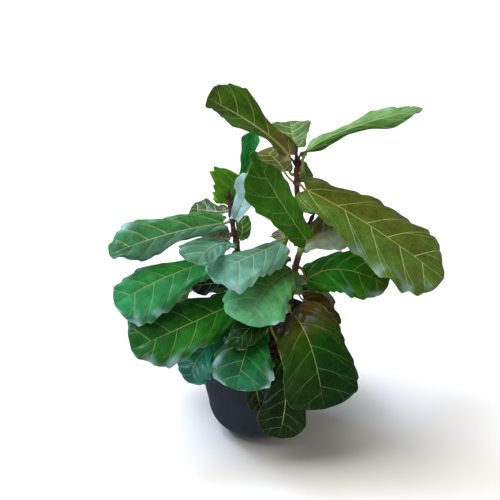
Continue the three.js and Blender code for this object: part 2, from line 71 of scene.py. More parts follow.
# stems: each one's axis from its top down to the mix, and its radius at the top and at the mix
STEMS = {
    "main": {"axis": [[67, 0, 554], [68, 0, 505], [78, 2, 434], [81, 0, 401], [72, 0, 367],
                      [67, 0, 340], [48, 0, 194]], "top": 4.5, "foot": 7.5},
    "left": {"axis": [[-52, 0, 487], [-47, 0, 433], [-40, 0, 394], [-25, 0, 194]],
             "top": 4.2, "foot": 8},
    "middle": {"axis": [[50, 0, 419], [48, 0, 398], [32, 0, 294], [15, 0, 194]],
               "top": 3.5, "foot": 6.5},
}
SIDE_SHOOT = {"axis": [[80, 2, 404], [90, 14, 427], [102, 20, 450]], "foot": 4, "top": 3}
GREEN_WOOD = {"main": (391, 16), "left": (279, 10), "middle": (415, 8)}  # height, reach

# leaves
LEAF_THICKNESS = 1.2
PETIOLE_RADIUS = 2.4
PETIOLE_FOOT = 1.5  # straight stretch at the bark
MIDRIB_DROP = 0.8  # the midrib's axis lies this far below the middle of the blade
WAVES = 3  # large waves of the margin from base to tip
SIDE_STEP = 0.35  # the right margin's waves start this much later than the left one's
PHASE_STEP = 0.37  # each leaf's waves start this much later than the last one's
BULGE = 2.0  # the blade puffs up this much between two side veins
SMALL_LEAF = 120  # blades shorter than this have fewer side veins and a coarser grid

# The flat outline of a fiddle leaf, from its base to its tip, for a blade of length 1 and half
# width 1. A row starts on the midrib at ROW_AT and meets the margin at MARGIN_X, MARGIN_Y.
ROW_AT = [0, 0.015, 0.04, 0.08, 0.14, 0.22, 0.32, 0.42, 0.52, 0.62, 0.72, 0.82, 0.91, 1]
MARGIN_X = [0, -0.045, -0.03, 0.04, 0.13, 0.24, 0.38, 0.51, 0.63, 0.74, 0.84, 0.92, 0.975, 1]
MARGIN_Y = [0, 0.22, 0.4, 0.48, 0.5, 0.53, 0.65, 0.81, 0.94, 1, 0.95, 0.8, 0.52, 0]
LAST_ROW = len(ROW_AT) - 1
LATE_SLANT = 0.25  # this share of a row's slant towards the tip comes near the margin
WAIST = (0.22, 0.15)  # place and reach
SHOULDER = (0.86, 0.13)

# Side veins leave the midrib and run forward by LEAN of the blade's length on their way to the
# margin. The ones at the base run forward further, by BASE_LEAN more, which fades over BASE_FADE.
LEAN = 0.22
BASE_LEAN = 0.26
BASE_FADE = 0.24
SIDE_VEIN_WIDTH = (1.0, 0.45)  # at the midrib and at the margin, mm
MIDRIB_WIDTH = (1.8, 0.4)  # at the base and at the tip, mm
RUNG_GAP = 13.0  # between the rungs that join two side veins, mm
NET_CELL = 9.0  # across the meshes of the finest veins, coarser than the real 1 or 2 mm


def leaf(name, stem, node, base, middle, tip, half, face, fold=(8, 8), bend=(-15, -15),
         waist=(1, 1), shoulder=(1, 1), ruffle=5):
    """One leaf: the stem that carries it and how high, three points of the blade's midrib, and the
    shape as (left, right) of the midrib, as seen from above with the tip ahead: half widths, fold
    and bend in degrees, and how much wider than usual the waist and the shoulder are. face is the
    way the upper side looks, and ruffle is the height of the waves of the margin."""
    return {"name": name, "stem": stem, "node": node, "rib": np.array([base, middle, tip], float),
            "half": half, "face": np.array(face, float), "fold": fold, "bend": bend,
            "waist": waist, "shoulder": shoulder, "ruffle": ruffle}


LEAVES = [
    leaf("leaf_top_left", "main", 535, [53, 0, 573], [0, 10, 620], [-90, 10, 676],
         half=[34, 58], face=[0.15, -0.6, 0.8], fold=[-80, 5], bend=[-10, -25], waist=[1, 0.65],
         shoulder=[0.6, 0.85], ruffle=6),
    leaf("leaf_top_right", "main", 541, [80, -10, 584], [160, -10, 629], [280, -10, 664],
         half=[40, 21], face=[-0.35, 0.35, 0.9], fold=[20, -40], bend=[0, -10], waist=[1.3, 1.2],
         ruffle=4),
    leaf("leaf_crown_back", "main", 545, [66, 26, 576], [60, 52, 592], [56, 78, 606],
         half=[40, 36], face=[0, -0.7, 0.8], fold=[10, 10], bend=[0, 0], waist=[1.2, 1.2],
         shoulder=[0.85, 0.8], ruffle=3),
    leaf("leaf_crown_left", "main", 519, [45, 20, 534], [30, 60, 539], [8, 92, 544],
         half=[36, 36], face=[-0.3, 0.3, 1], fold=[5, 5], bend=[-10, -10], ruffle=3),
    leaf("leaf_crown_right", "main", 524, [78, 20, 547], [82, 27, 530], [84, 31, 506],
         half=[15, 17], face=[0.1, -0.9, 0.3], fold=[5, 5], bend=[0, 0], ruffle=2),
    leaf("leaf_big_right", "main", 519, [85, -20, 514], [195, -60, 464], [325, -100, 379],
         half=[72, 76], face=[0.35, -0.55, 0.8], bend=[-15, -25], waist=[1.25, 1.15],
         shoulder=[0.55, 0.85], ruffle=7),
    leaf("leaf_upright_centre", "main", 404, [85, -26, 419], [25, -82, 542], [-9, -86, 617],
         half=[50, 28], face=[0.1, -0.9, 0.3], fold=[15, 15], waist=[1, 1.4],
         shoulder=[0.3, 0.15]),
    leaf("leaf_right_lower", "main", 349, [90, -5, 324], [150, -30, 360], [235, -50, 336],
         half=[52, 48], face=[0.1, -0.6, 0.8], fold=[5, 5], bend=[-15, -25], waist=[1.2, 1.7],
         shoulder=[1, 0.75]),
    leaf("leaf_right_tucked", "main", 299, [85, -10, 283], [112, -22, 268], [122, -38, 232],
         half=[38, 38], face=[0.3, -0.6, 0.6], fold=[5, 5], bend=[-15, -25], waist=[1.3, 1],
         ruffle=4),
    leaf("leaf_hanging_front_right", "main", 269, [60, -62, 287], [92, -145, 267], [118, -155, 139],
         half=[72, 66], face=[0.05, -0.85, 0.5], fold=[5, 5], bend=[-20, -20], waist=[1.5, 1.5],
         shoulder=[1.15, 1.15], ruffle=2),
    leaf("leaf_centre_upper", "middle", 404, [40, -27, 414], [-34, -80, 405], [-89, -118, 400],
         half=[54, 34], face=[-0.1, -0.5, 0.85], fold=[5, 4], bend=[-20, -20], waist=[1.5, 0.7],
         shoulder=[0.7, 0.9], ruffle=6),
    leaf("leaf_centre_lower", "middle", 349, [60, -30, 359], [10, -90, 349], [-20, -125, 299],
         half=[60, 64], face=[-0.1, -0.5, 0.85], fold=[5, 12], bend=[-25, -20], waist=[1.2, 1],
         shoulder=[0.7, 1.1]),
    leaf("leaf_left_folded", "left", 399, [-50, -20, 409], [-84, -112, 448], [-104, -159, 439],
         half=[26, 50], face=[-0.1, -0.5, 0.85], fold=[-40, 10], bend=[-10, -20], waist=[1, 0.8]),
    leaf("leaf_left_long", "left", 444, [-66, -10, 444], [-170, -26, 428], [-269, -45, 398],
         half=[32, 50], face=[-0.1, -0.6, 0.8], fold=[-15, 8], bend=[-15, -20], waist=[1, 1.2],
         shoulder=[0.5, 0.85], ruffle=6),
    leaf("leaf_left_broad", "left", 354, [-85, -20, 374], [-180, -60, 354], [-260, -80, 314],
         half=[64, 44], face=[-0.1, -0.6, 0.8], fold=[0, 10], bend=[-20, -20]),
    leaf("leaf_left_low", "left", 289, [-35, -40, 299], [-146, -100, 276], [-229, -130, 251],
         half=[58, 70], face=[-0.1, -0.65, 0.75], fold=[4, 8], bend=[-20, -20], waist=[1.5, 1],
         shoulder=[0.65, 1.1]),
    leaf("leaf_centre_tucked", "middle", 279, [25, -50, 304], [-10, -105, 289], [-50, -135, 264],
         half=[28, 26], face=[-0.2, -0.6, 0.75], bend=[-15, -20], ruffle=4),
    leaf("leaf_hanging_front_left", "left", 244, [3, -52, 250], [-21, -125, 251], [-40, -165, 188],
         half=[62, 58], face=[-0.1, -0.8, 0.5], bend=[-20, -25], waist=[1, 1.1],
         shoulder=[1.1, 1.1], ruffle=4),
    leaf("leaf_front_left_small", "left", 229, [-62, -70, 247], [-108, -104, 219], [-128, -112, 167],
         half=[36, 36], face=[-0.3, -0.7, 0.6], bend=[-15, -20], ruffle=4),
    leaf("leaf_hanging_front", "middle", 228, [42, -136, 231], [48, -160, 163], [36, -148, 69],
         half=[44, 48], face=[0, -0.95, 0.2], fold=[-4, -4], bend=[-15, -20], waist=[1.3, 1.3],
         shoulder=[1.05, 1.05], ruffle=1.5),
    leaf("leaf_front_narrow", "middle", 217, [2, -134, 229], [-4, -142, 181], [6, -136, 119],
         half=[24, 22], face=[-0.2, -0.95, 0.2], bend=[-8, -8], ruffle=1.5),
    leaf("leaf_young_lobed", "left", 479, [-59, 10, 473], [-48, 15, 498], [-32, 18, 524],
         half=[52, 16], face=[0.3, -0.9, 0.2], fold=[5, 5], bend=[0, 0], waist=[1.1, 1.4],
         shoulder=[1.3, 1.1], ruffle=8),
    leaf("leaf_young_pale", "left", 454, [-44, -16, 457], [-27, -30, 504], [-16, -36, 553],
         half=[22, 26], face=[-0.2, -0.8, 0.5], fold=[10, 10], bend=[0, 0], ruffle=4),
    leaf("leaf_young_upright", "left", 469, [-42, 24, 479], [-25, 48, 539], [-15, 48, 597],
         half=[18, 16], face=[0.2, -0.9, 0.3], fold=[40, 40], bend=[0, 0], waist=[0.6, 0.6],
         shoulder=[1.6, 1.5], ruffle=4),
    leaf("leaf_left_behind", "left", 459, [-60, 30, 449], [-87, 60, 434], [-128, 95, 423],
         half=[26, 24], face=[-0.3, -0.4, 1], fold=[5, 5], bend=[0, 0], shoulder=[1.2, 1.2]),
    leaf("leaf_left_inner", "left", 404, [-35, 10, 404], [-30, 35, 409], [-35, 60, 424],
         half=[13, 18], face=[0.2, -0.7, 0.7], fold=[5, 5], bend=[0, 0], waist=[1.5, 1.5],
         ruffle=3),
    leaf("leaf_left_inner_small", "left", 419, [-55, 15, 399], [-70, 40, 389], [-85, 60, 389],
         half=[25, 25], face=[-0.2, -0.3, 1], fold=[5, 5], bend=[0, 0], ruffle=3),
    leaf("leaf_right_inner", "main", 384, [80, 17, 384], [115, 30, 395], [165, 40, 404],
         half=[50, 36], face=[0.1, -0.7, 0.8], fold=[0, 10], bend=[10, -20], ruffle=3),
    leaf("leaf_middle_inner", "middle", 409, [45, 15, 394], [44, 40, 394], [35, 60, 394],
         half=[22, 22], face=[-0.2, -0.3, 1], fold=[5, 5], bend=[0, 0], ruffle=3),
    leaf("leaf_left_shaded", "left", 319, [-55, -8, 323], [-85, -20, 325], [-125, -30, 325],
         half=[24, 26], face=[-0.2, -0.5, 0.9], fold=[5, 5], bend=[0, 0], ruffle=3),
    leaf("leaf_back_right_high", "main", 459, [85, 20, 464], [145, 90, 444], [220, 150, 384],
         half=[50, 50], face=[0.3, 0.3, 1]),
    leaf("leaf_back_left_high", "left", 379, [-55, 20, 349], [-130, 80, 314], [-215, 120, 229],
         half=[60, 60], face=[-0.3, 0.4, 1]),
    leaf("leaf_back_centre_high", "middle", 339, [15, 25, 329], [5, 100, 314], [10, 165, 269],
         half=[60, 60], face=[0, 0.4, 1]),
    leaf("leaf_back_right_low", "main", 324, [82, 20, 299], [112, 75, 259], [130, 112, 179],
         half=[44, 36], face=[0.3, 0.4, 1]),
    leaf("leaf_back_left_low", "left", 269, [-45, 25, 264], [-120, 90, 269], [-185, 140, 179],
         half=[60, 60], face=[-0.3, 0.5, 0.9]),
    leaf("leaf_back_centre_low", "middle", 259, [22, 30, 269], [55, 115, 269], [70, 180, 184],
         half=[50, 50], face=[0.1, 0.6, 0.9]),
]

# How each blade looks: the colour of its left and right halves, of its tip and of its underside,
# how plainly the veins show, and how far the margin curls over (mm, down is negative). Many of the
# upper-side colours are painted light and shade: the leaves hanging low under the others are painted
# near black for the shade they lie in, some halves that face away are painted darker, and the pale
# blue-green halves and tips are a painted sheen of the sky.
LOOKS = {
    "leaf_top_left": ("#4c7424", "#305400", "#36500c", "#86ad66", 0.5, 0),
    # painted light and shade: the left half is painted pale for the sheen on it, the right half dark
    # for its shade
    "leaf_top_right": ("#6f9a5c", "#2c540a", "#5f8a48", "#3e6c16", 0.6, -3),
    "leaf_crown_back": ("#5c8048", "#4c7038", "#5c7c40", "#6f9160", 0.75, 0),
    "leaf_crown_left": ("#565a26", "#565a26", "#565a26", "#857a58", 0.6, 0),
    "leaf_crown_right": ("#4f6f2e", "#4f6f2e", "#5a7a38", "#68803c", 0.5, 0),
    "leaf_big_right": ("#56661a", "#4c6a20", "#4a641e", "#8a8658", 1, -5),
    "leaf_upright_centre": ("#2e6c00", "#387000", "#2a5800", "#5f8340", 0.35, 0),
    "leaf_right_lower": ("#1c6a08", "#207c0e", "#3a5410", "#688a4c", 0.5, -5),
    "leaf_right_tucked": ("#4a3208", "#44320a", "#363608", "#5c5a38", 0.28, 0),
    # painted shade: near-black greens for the shade this leaf hangs in under the crown
    "leaf_hanging_front_right": ("#063c00", "#224600", "#042e00", "#5f7a40", 0.22, -2),
    # painted sheen: both halves and the tip are pale blue-green for the sky's sheen on them
    "leaf_centre_upper": ("#5f9480", "#4c7864", "#86d4bc", "#7c9a78", 0.7, -8),
    # painted light: the left half and the tip are painted lighter, the tip to make up for the light
    # it loses where it bends down
    "leaf_centre_lower": ("#4c9450", "#44843c", "#6cc48c", "#6f9a68", 0.45, -7),
    # painted reflection: the left half is pale turquoise for the sky it mirrors
    "leaf_left_folded": ("#74bcae", "#305840", "#4c8064", "#6f9a78", 0.6, -4),
    # partly painted sheen: the left half is tinted grey-green for the sheen on it
    "leaf_left_long": ("#44745a", "#2f6c30", "#3c7852", "#7a9a78", 0.6, -5),
    "leaf_left_broad": ("#2a8044", "#28802c", "#2c8454", "#6f9a60", 0.42, -8),
    "leaf_left_low": ("#1e6a18", "#144e10", "#185420", "#5f8a50", 0.36, -7),
    # painted shade: near-black green for the shade it is tucked into
    "leaf_centre_tucked": ("#0a3800", "#083000", "#0a3800", "#4f7040", 0.18, 0),
    # painted shade and sheen: the right half is near black for its shade, the tip blue-green for a
    # sheen
    "leaf_hanging_front_left": ("#107024", "#043400", "#267050", "#5f8a60", 0.3, -10),
    "leaf_front_left_small": ("#208468", "#186c54", "#207860", "#5f8a70", 0.25, -6),
    # painted shade: these two hang low in front of the planter and are painted near black for their
    # shade
    "leaf_hanging_front": ("#0a3200", "#062600", "#0a2c00", "#4f6a38", 0.2, 0),
    "leaf_front_narrow": ("#0b2600", "#0b2600", "#0b2600", "#4f6a38", 0.2, 0),
    "leaf_young_lobed": ("#5a9c1c", "#549414", "#5a9c1c", "#6fa040", 0.3, 0),
    # painted sheen: a young leaf's paler green, painted near-white blue for the sky's sheen on it
    "leaf_young_pale": ("#b0dce4", "#c4ecf4", "#ccf0f8", "#8ab0b0", 0.8, 0),
    "leaf_young_upright": ("#1fa844", "#1a9c3c", "#2cb460", "#4fae68", 0.6, 0),
    "leaf_left_behind": ("#3a4822", "#36441e", "#34421c", "#7c8a68", 0.8, 0),
    "leaf_left_inner": ("#2c5a18", "#265c1a", "#2c5a18", "#5f8050", 0.5, 0),
    "leaf_left_inner_small": ("#4f4a36", "#4f4a36", "#554e38", "#7a7660", 0.4, 0),
    # painted sheen: the right half is pale grey-green for the gloss on it
    "leaf_right_inner": ("#5c5434", "#c0d8c0", "#7c9a80", "#7a8060", 0.75, 0),
    "leaf_middle_inner": ("#655c46", "#655c46", "#655c46", "#7a7660", 0.5, 0),
    # painted shade: dark blue-green for the shade in the gap it lies in
    "leaf_left_shaded": ("#0a2626", "#0a2c2a", "#0a2428", "#40605c", 0.4, 0),
    "leaf_back_right_high": ("#2f5e14", "#345e18", "#3c5818", "#7c9060", 0.75, -4),
    "leaf_back_left_high": ("#22681a", "#266e20", "#2f6e28", "#739468", 0.75, -4),
    "leaf_back_centre_high": ("#246216", "#246216", "#2c681c", "#739060", 0.75, -4),
    "leaf_back_right_low": ("#143c06", "#143c06", "#183c06", "#6a8858", 0.7, -4),
    "leaf_back_left_low": ("#1e5a14", "#1e5a14", "#246418", "#6a8858", 0.7, -4),
    "leaf_back_centre_low": ("#1b4e10", "#1b4e10", "#225812", "#688458", 0.7, -4),
}
GOLDEN = ("leaf_big_right", "leaf_right_lower", "leaf_right_inner", "leaf_crown_left")

# How strongly a painted highlight, a bluish sheen of the windows, pales the curled margin of the
# left and right halves.
PAINTED_MARGIN_SHEEN = {
    "leaf_left_broad": (0.9, 0.2), "leaf_left_low": (0.55, 0.2), "leaf_centre_lower": (0.9, 0.3),
    "leaf_centre_upper": (0.8, 0.5), "leaf_hanging_front_left": (0.9, 0.9),
    "leaf_left_long": (0.3, 0.7), "leaf_left_folded": (0.8, 0.3), "leaf_right_lower": (0.1, 0.4),
    "leaf_big_right": (0.05, 0.4), "leaf_front_left_small": (0.3, 0.4),
    "leaf_young_upright": (0.2, 0.2), "leaf_top_right": (0.4, 0.1), "leaf_right_inner": (0, 0.5),
    "leaf_left_shaded": (0.4, 0.4),
}
# the colour of the painted sheen
PAINTED_SHEEN_COLOUR = "#b4e2ea"

# The colour that some blades start with at their base.
FOOT = {
    "leaf_hanging_front_right": "#56380a", "leaf_right_lower": "#2c6a08",
    "leaf_centre_lower": "#466024", "leaf_top_left": "#6a5a2c",
}

# ---------------------------------------------------------------- small tools

def colour(code):
    """An sRGB hex code as linear red, green, blue and a full alpha."""
    srgb = np.array([int(code[i:i + 2], 16) / 255 for i in (1, 3, 5)])
    linear = np.where(srgb <= 0.04045, srgb / 12.92, ((srgb + 0.055) / 1.055) ** 2.4)
    return (*linear.tolist(), 1.0)


def smoothstep(x, low, high):
    """0 below low, 1 above high, and a smooth S between them."""
    share = np.clip((x - low) / (high - low), 0, 1)
    return share * share * (3 - 2 * share)


def unit(vectors):
    """Vectors of length 1."""
    return vectors / np.linalg.norm(vectors, axis=-1, keepdims=True)


def ripples(places, length, seed, count=24):
    """A smooth random field of about -1 to 1: `count` cosines of wavelength near `length`, which
    run in random directions, added up and divided by the root of their number."""
    rng = np.random.default_rng(seed)
    ways = unit(rng.normal(size=(count, places.shape[-1])))
    waves = 2 * np.pi / (length * rng.uniform(0.75, 1.5, count))
    turns = rng.uniform(0, 2 * np.pi, count)
    return np.cos(places @ (ways * waves[:, None]).T + turns).sum(-1) / math.sqrt(count)


def add(tree, kind, inputs=None, out=0, **settings):
    """Adds a shader node to a material, sets its properties, and fills or links its inputs. Gives
    the output with the number or name `out`, or several of them for a slice."""
    made = tree.nodes.new("ShaderNode" + kind)
    for name, value in settings.items():
        setattr(made, name, value)
    for name, value in (inputs or {}).items():
        if isinstance(value, bpy.types.NodeSocket):
            tree.links.new(value, made.inputs[name])
        else:
            made.inputs[name].default_value = value
    return made.outputs[out]


# ---------------------------------------------------------------- skins

def skin(rings, first, last, slots=0, sides=0, data=None):
    """A closed surface: rings of points, rows by around, each turning right-handed about the way
    the rings go, drawn together in one point before the first ring and one after the last. data
    holds values for the corners of the faces, as sides by rows by around by numbers, and sides
    says for each column of faces which side's values its corners take."""
    rows, around, _ = rings.shape
    points = np.concatenate([[first], rings.reshape(-1, 3), [last]])
    here = np.arange(around)
    after = (here + 1) % around
    grid = (rows - 1, around, 4)
    quad_rows = np.broadcast_to(np.arange(rows - 1)[:, None, None] + [0, 0, 1, 1], grid)
    quad_turns = np.broadcast_to(np.stack([here, after, after, here], -1), grid)
    quads = 1 + quad_rows * around + quad_turns
    start = np.stack([0 * here, 1 + after, 1 + here], -1)
    end_row = 1 + (rows - 1) * around
    end = np.stack([0 * here + len(points) - 1, end_row + here, end_row + after], -1)
    slot = np.broadcast_to(slots, around)
    side = np.broadcast_to(sides, around)
    values = {}
    for name, array in (data or {}).items():
        body = array[side[None, :, None], quad_rows, quad_turns]
        foot = array[side[:, None], 0, np.stack([here, after, here], -1)]
        tip = array[side[:, None], -1, np.stack([here, here, after], -1)]
        numbers = array.shape[-1]
        values[name] = np.concatenate([part.reshape(-1, numbers) for part in (body, foot, tip)])
    return {
        "points": points,
        "corners": np.concatenate([quads.ravel(), start.ravel(), end.ravel()]),
        "sizes": np.concatenate([np.full(quads.shape[0] * around, 4), np.full(2 * around, 3)]),
        "slots": np.concatenate([np.tile(slot, rows - 1), slot, slot]),
        "data": values,
    }


def build(name, skins, materials, node, smooth=True):
    """Writes skins into one object, in metres, that stands for a node of the frame."""
    mesh = bpy.data.meshes.new(name)
    firsts = np.cumsum([0] + [len(one["points"]) for one in skins[:-1]])
    points = np.concatenate([one["points"] for one in skins]) * MM
    corners = np.concatenate([one["corners"] + k for one, k in zip(skins, firsts)])
    sizes = np.concatenate([one["sizes"] for one in skins])
    mesh.vertices.add(len(points))
    mesh.vertices.foreach_set("co", points.astype(np.float32).ravel())
    mesh.loops.add(len(corners))
    mesh.loops.foreach_set("vertex_index", corners.astype(np.int32))
    mesh.polygons.add(len(sizes))
    mesh.polygons.foreach_set("loop_start", (np.cumsum(sizes) - sizes).astype(np.int32))
    slots = np.concatenate([one["slots"] for one in skins])
    mesh.polygons.foreach_set("material_index", slots.astype(np.int32))
    mesh.polygons.foreach_set("use_smooth", np.full(len(sizes), smooth))
    for key in skins[0]["data"]:
        values = np.concatenate([one["data"][key] for one in skins]).astype(np.float32)
        if values.shape[-1] == 4:
            mesh.attributes.new(key, "FLOAT_COLOR", "CORNER").data.foreach_set(
                "color", values.ravel())
        else:
            mesh.attributes.new(key, "FLOAT_VECTOR", "CORNER").data.foreach_set(
                "vector", values.ravel())
    for material in materials:
        mesh.materials.append(material)
    mesh.update(calc_edges=True)
    mesh.validate()
    piece = bpy.data.objects.new(name, mesh)
    bpy.context.scene.collection.objects.link(piece)
    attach(piece, "root")
    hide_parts(node)
    return piece


def carry(path, radii, around, first_way=(0, 1, 0)):
    """Rings about a path. Each ring's way across is carried over from the ring before, so the
    rings don't twist, and radii may hold one number for each ring or for each point."""
    along = unit(np.gradient(path, axis=0))
    across = np.zeros_like(path)
    way = np.array(first_way, float)
    for i, direction in enumerate(along):
        way = way - way.dot(direction) * direction
        way = way / np.linalg.norm(way)
        across[i] = way
    other = np.cross(along, across)
    turn = 2 * np.pi * np.arange(around) / around
    radii = np.asarray(radii, float)
    radii = radii[:, None] if radii.ndim == 1 else radii
    return path[:, None] + radii[..., None] * (
        across[:, None] * np.cos(turn)[None, :, None]
        + other[:, None] * np.sin(turn)[None, :, None])


def lathe(profile, around):
    """Rings of a turned shape from (radius, height) pairs."""
    turn = 2 * np.pi * np.arange(around) / around
    radius, height = np.array(profile, float).T
    radius = np.broadcast_to(radius[:, None], (len(radius), around))
    return np.stack([radius * np.cos(turn), radius * np.sin(turn),
                     np.broadcast_to(height[:, None], radius.shape)], -1)

# ---------------------------------------------------------------- materials

def start_material(name):
    """A new material and its node tree, with only a Principled shader and an output."""
    material = bpy.data.materials.new(name)
    material.use_nodes = True
    return material, material.node_tree


def finish_shader(tree, base, roughness, height, strength, depth, specular=0.5):
    """Fills the shader: its colour, its roughness (a number or a socket), its specular level, and
    a relief from a height, with a strength and a depth in metres."""
    shader = tree.nodes["Principled BSDF"]
    shader.inputs["Specular IOR Level"].default_value = specular
    if isinstance(roughness, bpy.types.NodeSocket):
        tree.links.new(roughness, shader.inputs["Roughness"])
    else:
        shader.inputs["Roughness"].default_value = roughness
    bump = add(tree, "Bump", {"Strength": strength, "Distance": depth, "Height": height})
    tree.links.new(base, shader.inputs["Base Color"])
    tree.links.new(bump, shader.inputs["Normal"])
    return shader


def mix(tree, factor, low, high, blend="MIX"):
    """A colour between two colours."""
    return add(tree, "Mix", {0: factor, 6: low, 7: high}, 2, data_type="RGBA", blend_type=blend)


def stretch(tree, value, first, last, low, high):
    """A number that goes straight from low to high while a value goes from first to last."""
    return add(tree, "MapRange", {"Value": value, "From Min": first, "From Max": last,
                                  "To Min": low, "To Max": high})


def shade(tree, base, cloud, dark, light, last=0.7):
    """A colour darkened and lightened by a cloudy pattern, from 0.3 of its strength to `last`."""
    return mix(tree, 1.0, base, stretch(tree, cloud, 0.3, last, dark, light), "MULTIPLY")


def line(tree, distance, width):
    """1 within half a width of a line, and 0 from a little further off, in mm."""
    half = add(tree, "Math", {0: width, 1: 0.5}, operation="MULTIPLY")
    far = add(tree, "Math", {0: half, 1: 0.45}, operation="ADD")
    near = add(tree, "Math", {0: half, 1: 0.15}, operation="SUBTRACT")
    return add(tree, "MapRange", {"Value": distance, "From Min": far, "From Max": near},
               interpolation_type="SMOOTHSTEP")


def read(tree, name, out="Color"):
    """What a mesh holds under a name at each corner."""
    return add(tree, "Attribute", out=out, attribute_name=name)


def leaf_veins(tree):
    """The veins of a blade, from the corner data of its mesh. Side veins lie where the vein number
    is whole. Halfway out a thinner branch forks off each. Between them run rungs, RUNG_GAP apart,
    and a fine net.
    Returns the strength of each kind of line, the coordinates in mm, and the share of the length."""
    number, spacing, out = add(tree, "SeparateXYZ", {0: read(tree, "veins", "Vector")},
                               slice(None))
    place = read(tree, "blade", "Vector")
    along, across, share = add(tree, "SeparateXYZ", {0: place}, slice(None))

    apart = add(tree, "Math", {0: number, 1: 0.5}, operation="PINGPONG")
    apart = add(tree, "Math", {0: apart, 1: spacing}, operation="MULTIPLY")
    side = line(tree, apart, stretch(tree, out, 0, 1, *SIDE_VEIN_WIDTH))
    swing = stretch(tree, out, 0.4, 1.0, 0, 0.5)
    part = add(tree, "Math", {0: number}, operation="FRACT")
    apart = add(tree, "Math", {0: part, 1: swing}, operation="SUBTRACT")
    apart = add(tree, "Math", {0: apart}, operation="ABSOLUTE")
    apart = add(tree, "Math", {0: apart, 1: spacing}, operation="MULTIPLY")
    fork = add(tree, "Math", {0: line(tree, apart, 0.6), 1: 0.8}, operation="MULTIPLY")
    side = add(tree, "Math", {0: side, 1: fork}, operation="MAXIMUM")
    faded = stretch(tree, out, 0.72, 0.98, 1.0, 0.25)
    side = add(tree, "Math", {0: side, 1: faded}, operation="MULTIPLY")

    away = add(tree, "Math", {0: across}, operation="ABSOLUTE")
    middle = line(tree, away, stretch(tree, share, 0, 1, *MIDRIB_WIDTH))
    sway = add(tree, "TexNoise", {"Vector": place, "Scale": 1 / 18, "Detail": 1.0},
               noise_dimensions="2D")
    rung = add(tree, "Math", {0: away, 1: 1 / RUNG_GAP}, operation="MULTIPLY")
    rung = add(tree, "Math", {0: sway, 1: 2.2, 2: rung}, operation="MULTIPLY_ADD")
    cell = add(tree, "Math", {0: number}, operation="FLOOR")
    rung = add(tree, "Math", {0: cell, 1: 0.37, 2: rung}, operation="MULTIPLY_ADD")
    rung = add(tree, "Math", {0: rung, 1: 0.5}, operation="PINGPONG")
    rung = add(tree, "Math", {0: rung, 1: RUNG_GAP}, operation="MULTIPLY")
    net = add(tree, "TexVoronoi", {"Vector": place, "Scale": 1 / NET_CELL, "Randomness": 0.8},
              voronoi_dimensions="2D", feature="DISTANCE_TO_EDGE")
    net = add(tree, "MapRange", {"Value": net, "From Min": 0.07, "From Max": 0.0},
              interpolation_type="SMOOTHSTEP")
    net = add(tree, "Math", {0: net, 1: line(tree, rung, 0.3)}, operation="MAXIMUM")
    margin = stretch(tree, out, 0.975, 0.995, 0, 1)
    return middle, side, net, margin, place, share


def leaf_upper_skin():
    """Fig leaf, upper side: a tough skin under a thin natural wax, so it is deep green with a soft
    wide gloss. The side veins are pale, and the midrib has a colour of its own. IOR 1.45."""
    material, tree = start_material("fig_leaf_waxed_upper_skin")
    middle, side, net, margin, place, share = leaf_veins(tree)
    base, plain = read(tree, "tone"), read(tree, "tone", "Alpha")
    cloud = add(tree, "TexNoise",  # blotches about 30 mm across
                {"Vector": place, "Scale": 1 / 30, "Detail": 3.0, "Roughness": 0.6},
                noise_dimensions="2D")
    grain = add(tree, "TexNoise",  # skin about 2 mm, coarser than the real pores
                {"Vector": place, "Scale": 1 / 2, "Detail": 2.0}, noise_dimensions="2D")
    base = shade(tree, base, cloud, 0.74, 1.22)
    base = shade(tree, base, grain, 0.93, 1.07)

    pale = mix(tree, 0.78, base, colour("#c6d890"))
    fading = stretch(tree, share, 0.4, 1.0, 1.0, 0.5)
    net = add(tree, "Math", {0: net, 1: plain}, operation="MULTIPLY")
    net = add(tree, "Math", {0: net, 1: 0.12}, operation="MULTIPLY")
    rim = add(tree, "Math", {0: margin, 1: 0.3}, operation="MULTIPLY")
    side_seen = add(tree, "Math", {0: side, 1: plain}, operation="MULTIPLY")
    middle = add(tree, "Math", {0: middle, 1: plain}, operation="MULTIPLY")
    middle = add(tree, "Math", {0: middle, 1: fading}, operation="MULTIPLY")
    for strength, tint in ((net, pale), (rim, pale), (side_seen, pale),
                           (middle, read(tree, "rib"))):
        base = mix(tree, strength, base, tint)

    height = add(tree, "Math", {0: side, 1: -0.6}, operation="MULTIPLY")
    height = add(tree, "Math", {0: net, 1: -1.2, 2: height}, operation="MULTIPLY_ADD")
    height = add(tree, "Math", {0: grain, 1: 0.35, 2: height}, operation="MULTIPLY_ADD")
    shader = finish_shader(tree, base, stretch(tree, cloud, 0.3, 0.7, 0.22, 0.33), height,
                           0.5, 0.0006, specular=0.22)
    shader.inputs["IOR"].default_value = 1.45
    return material


def leaf_underside():
    """Fig leaf, underside: no wax, so matt and greyer, with the midrib, the side veins and the
    fine net all standing out as raised pale cords."""
    material, tree = start_material("fig_leaf_matt_underside")
    middle, side, net, _, place, _ = leaf_veins(tree)
    cloud = add(tree, "TexNoise", {"Vector": place, "Scale": 1 / 25, "Detail": 3.0},
                noise_dimensions="2D")
    base = shade(tree, read(tree, "tone"), cloud, 0.84, 1.12)
    pale = mix(tree, 0.5, base, colour("#d8d39a"))
    faint = add(tree, "Math", {0: net, 1: 0.4}, operation="MULTIPLY")
    base = mix(tree, faint, base, pale)
    lines = add(tree, "Math", {0: side, 1: middle}, operation="MAXIMUM")
    seen = add(tree, "Math", {0: lines, 1: 0.8}, operation="MULTIPLY")
    base = mix(tree, seen, base, pale)
    height = add(tree, "Math", {0: net, 1: 0.4, 2: lines}, operation="MULTIPLY_ADD")
    finish_shader(tree, base, 0.65, height, 0.8, 0.001, specular=0.15)
    return material


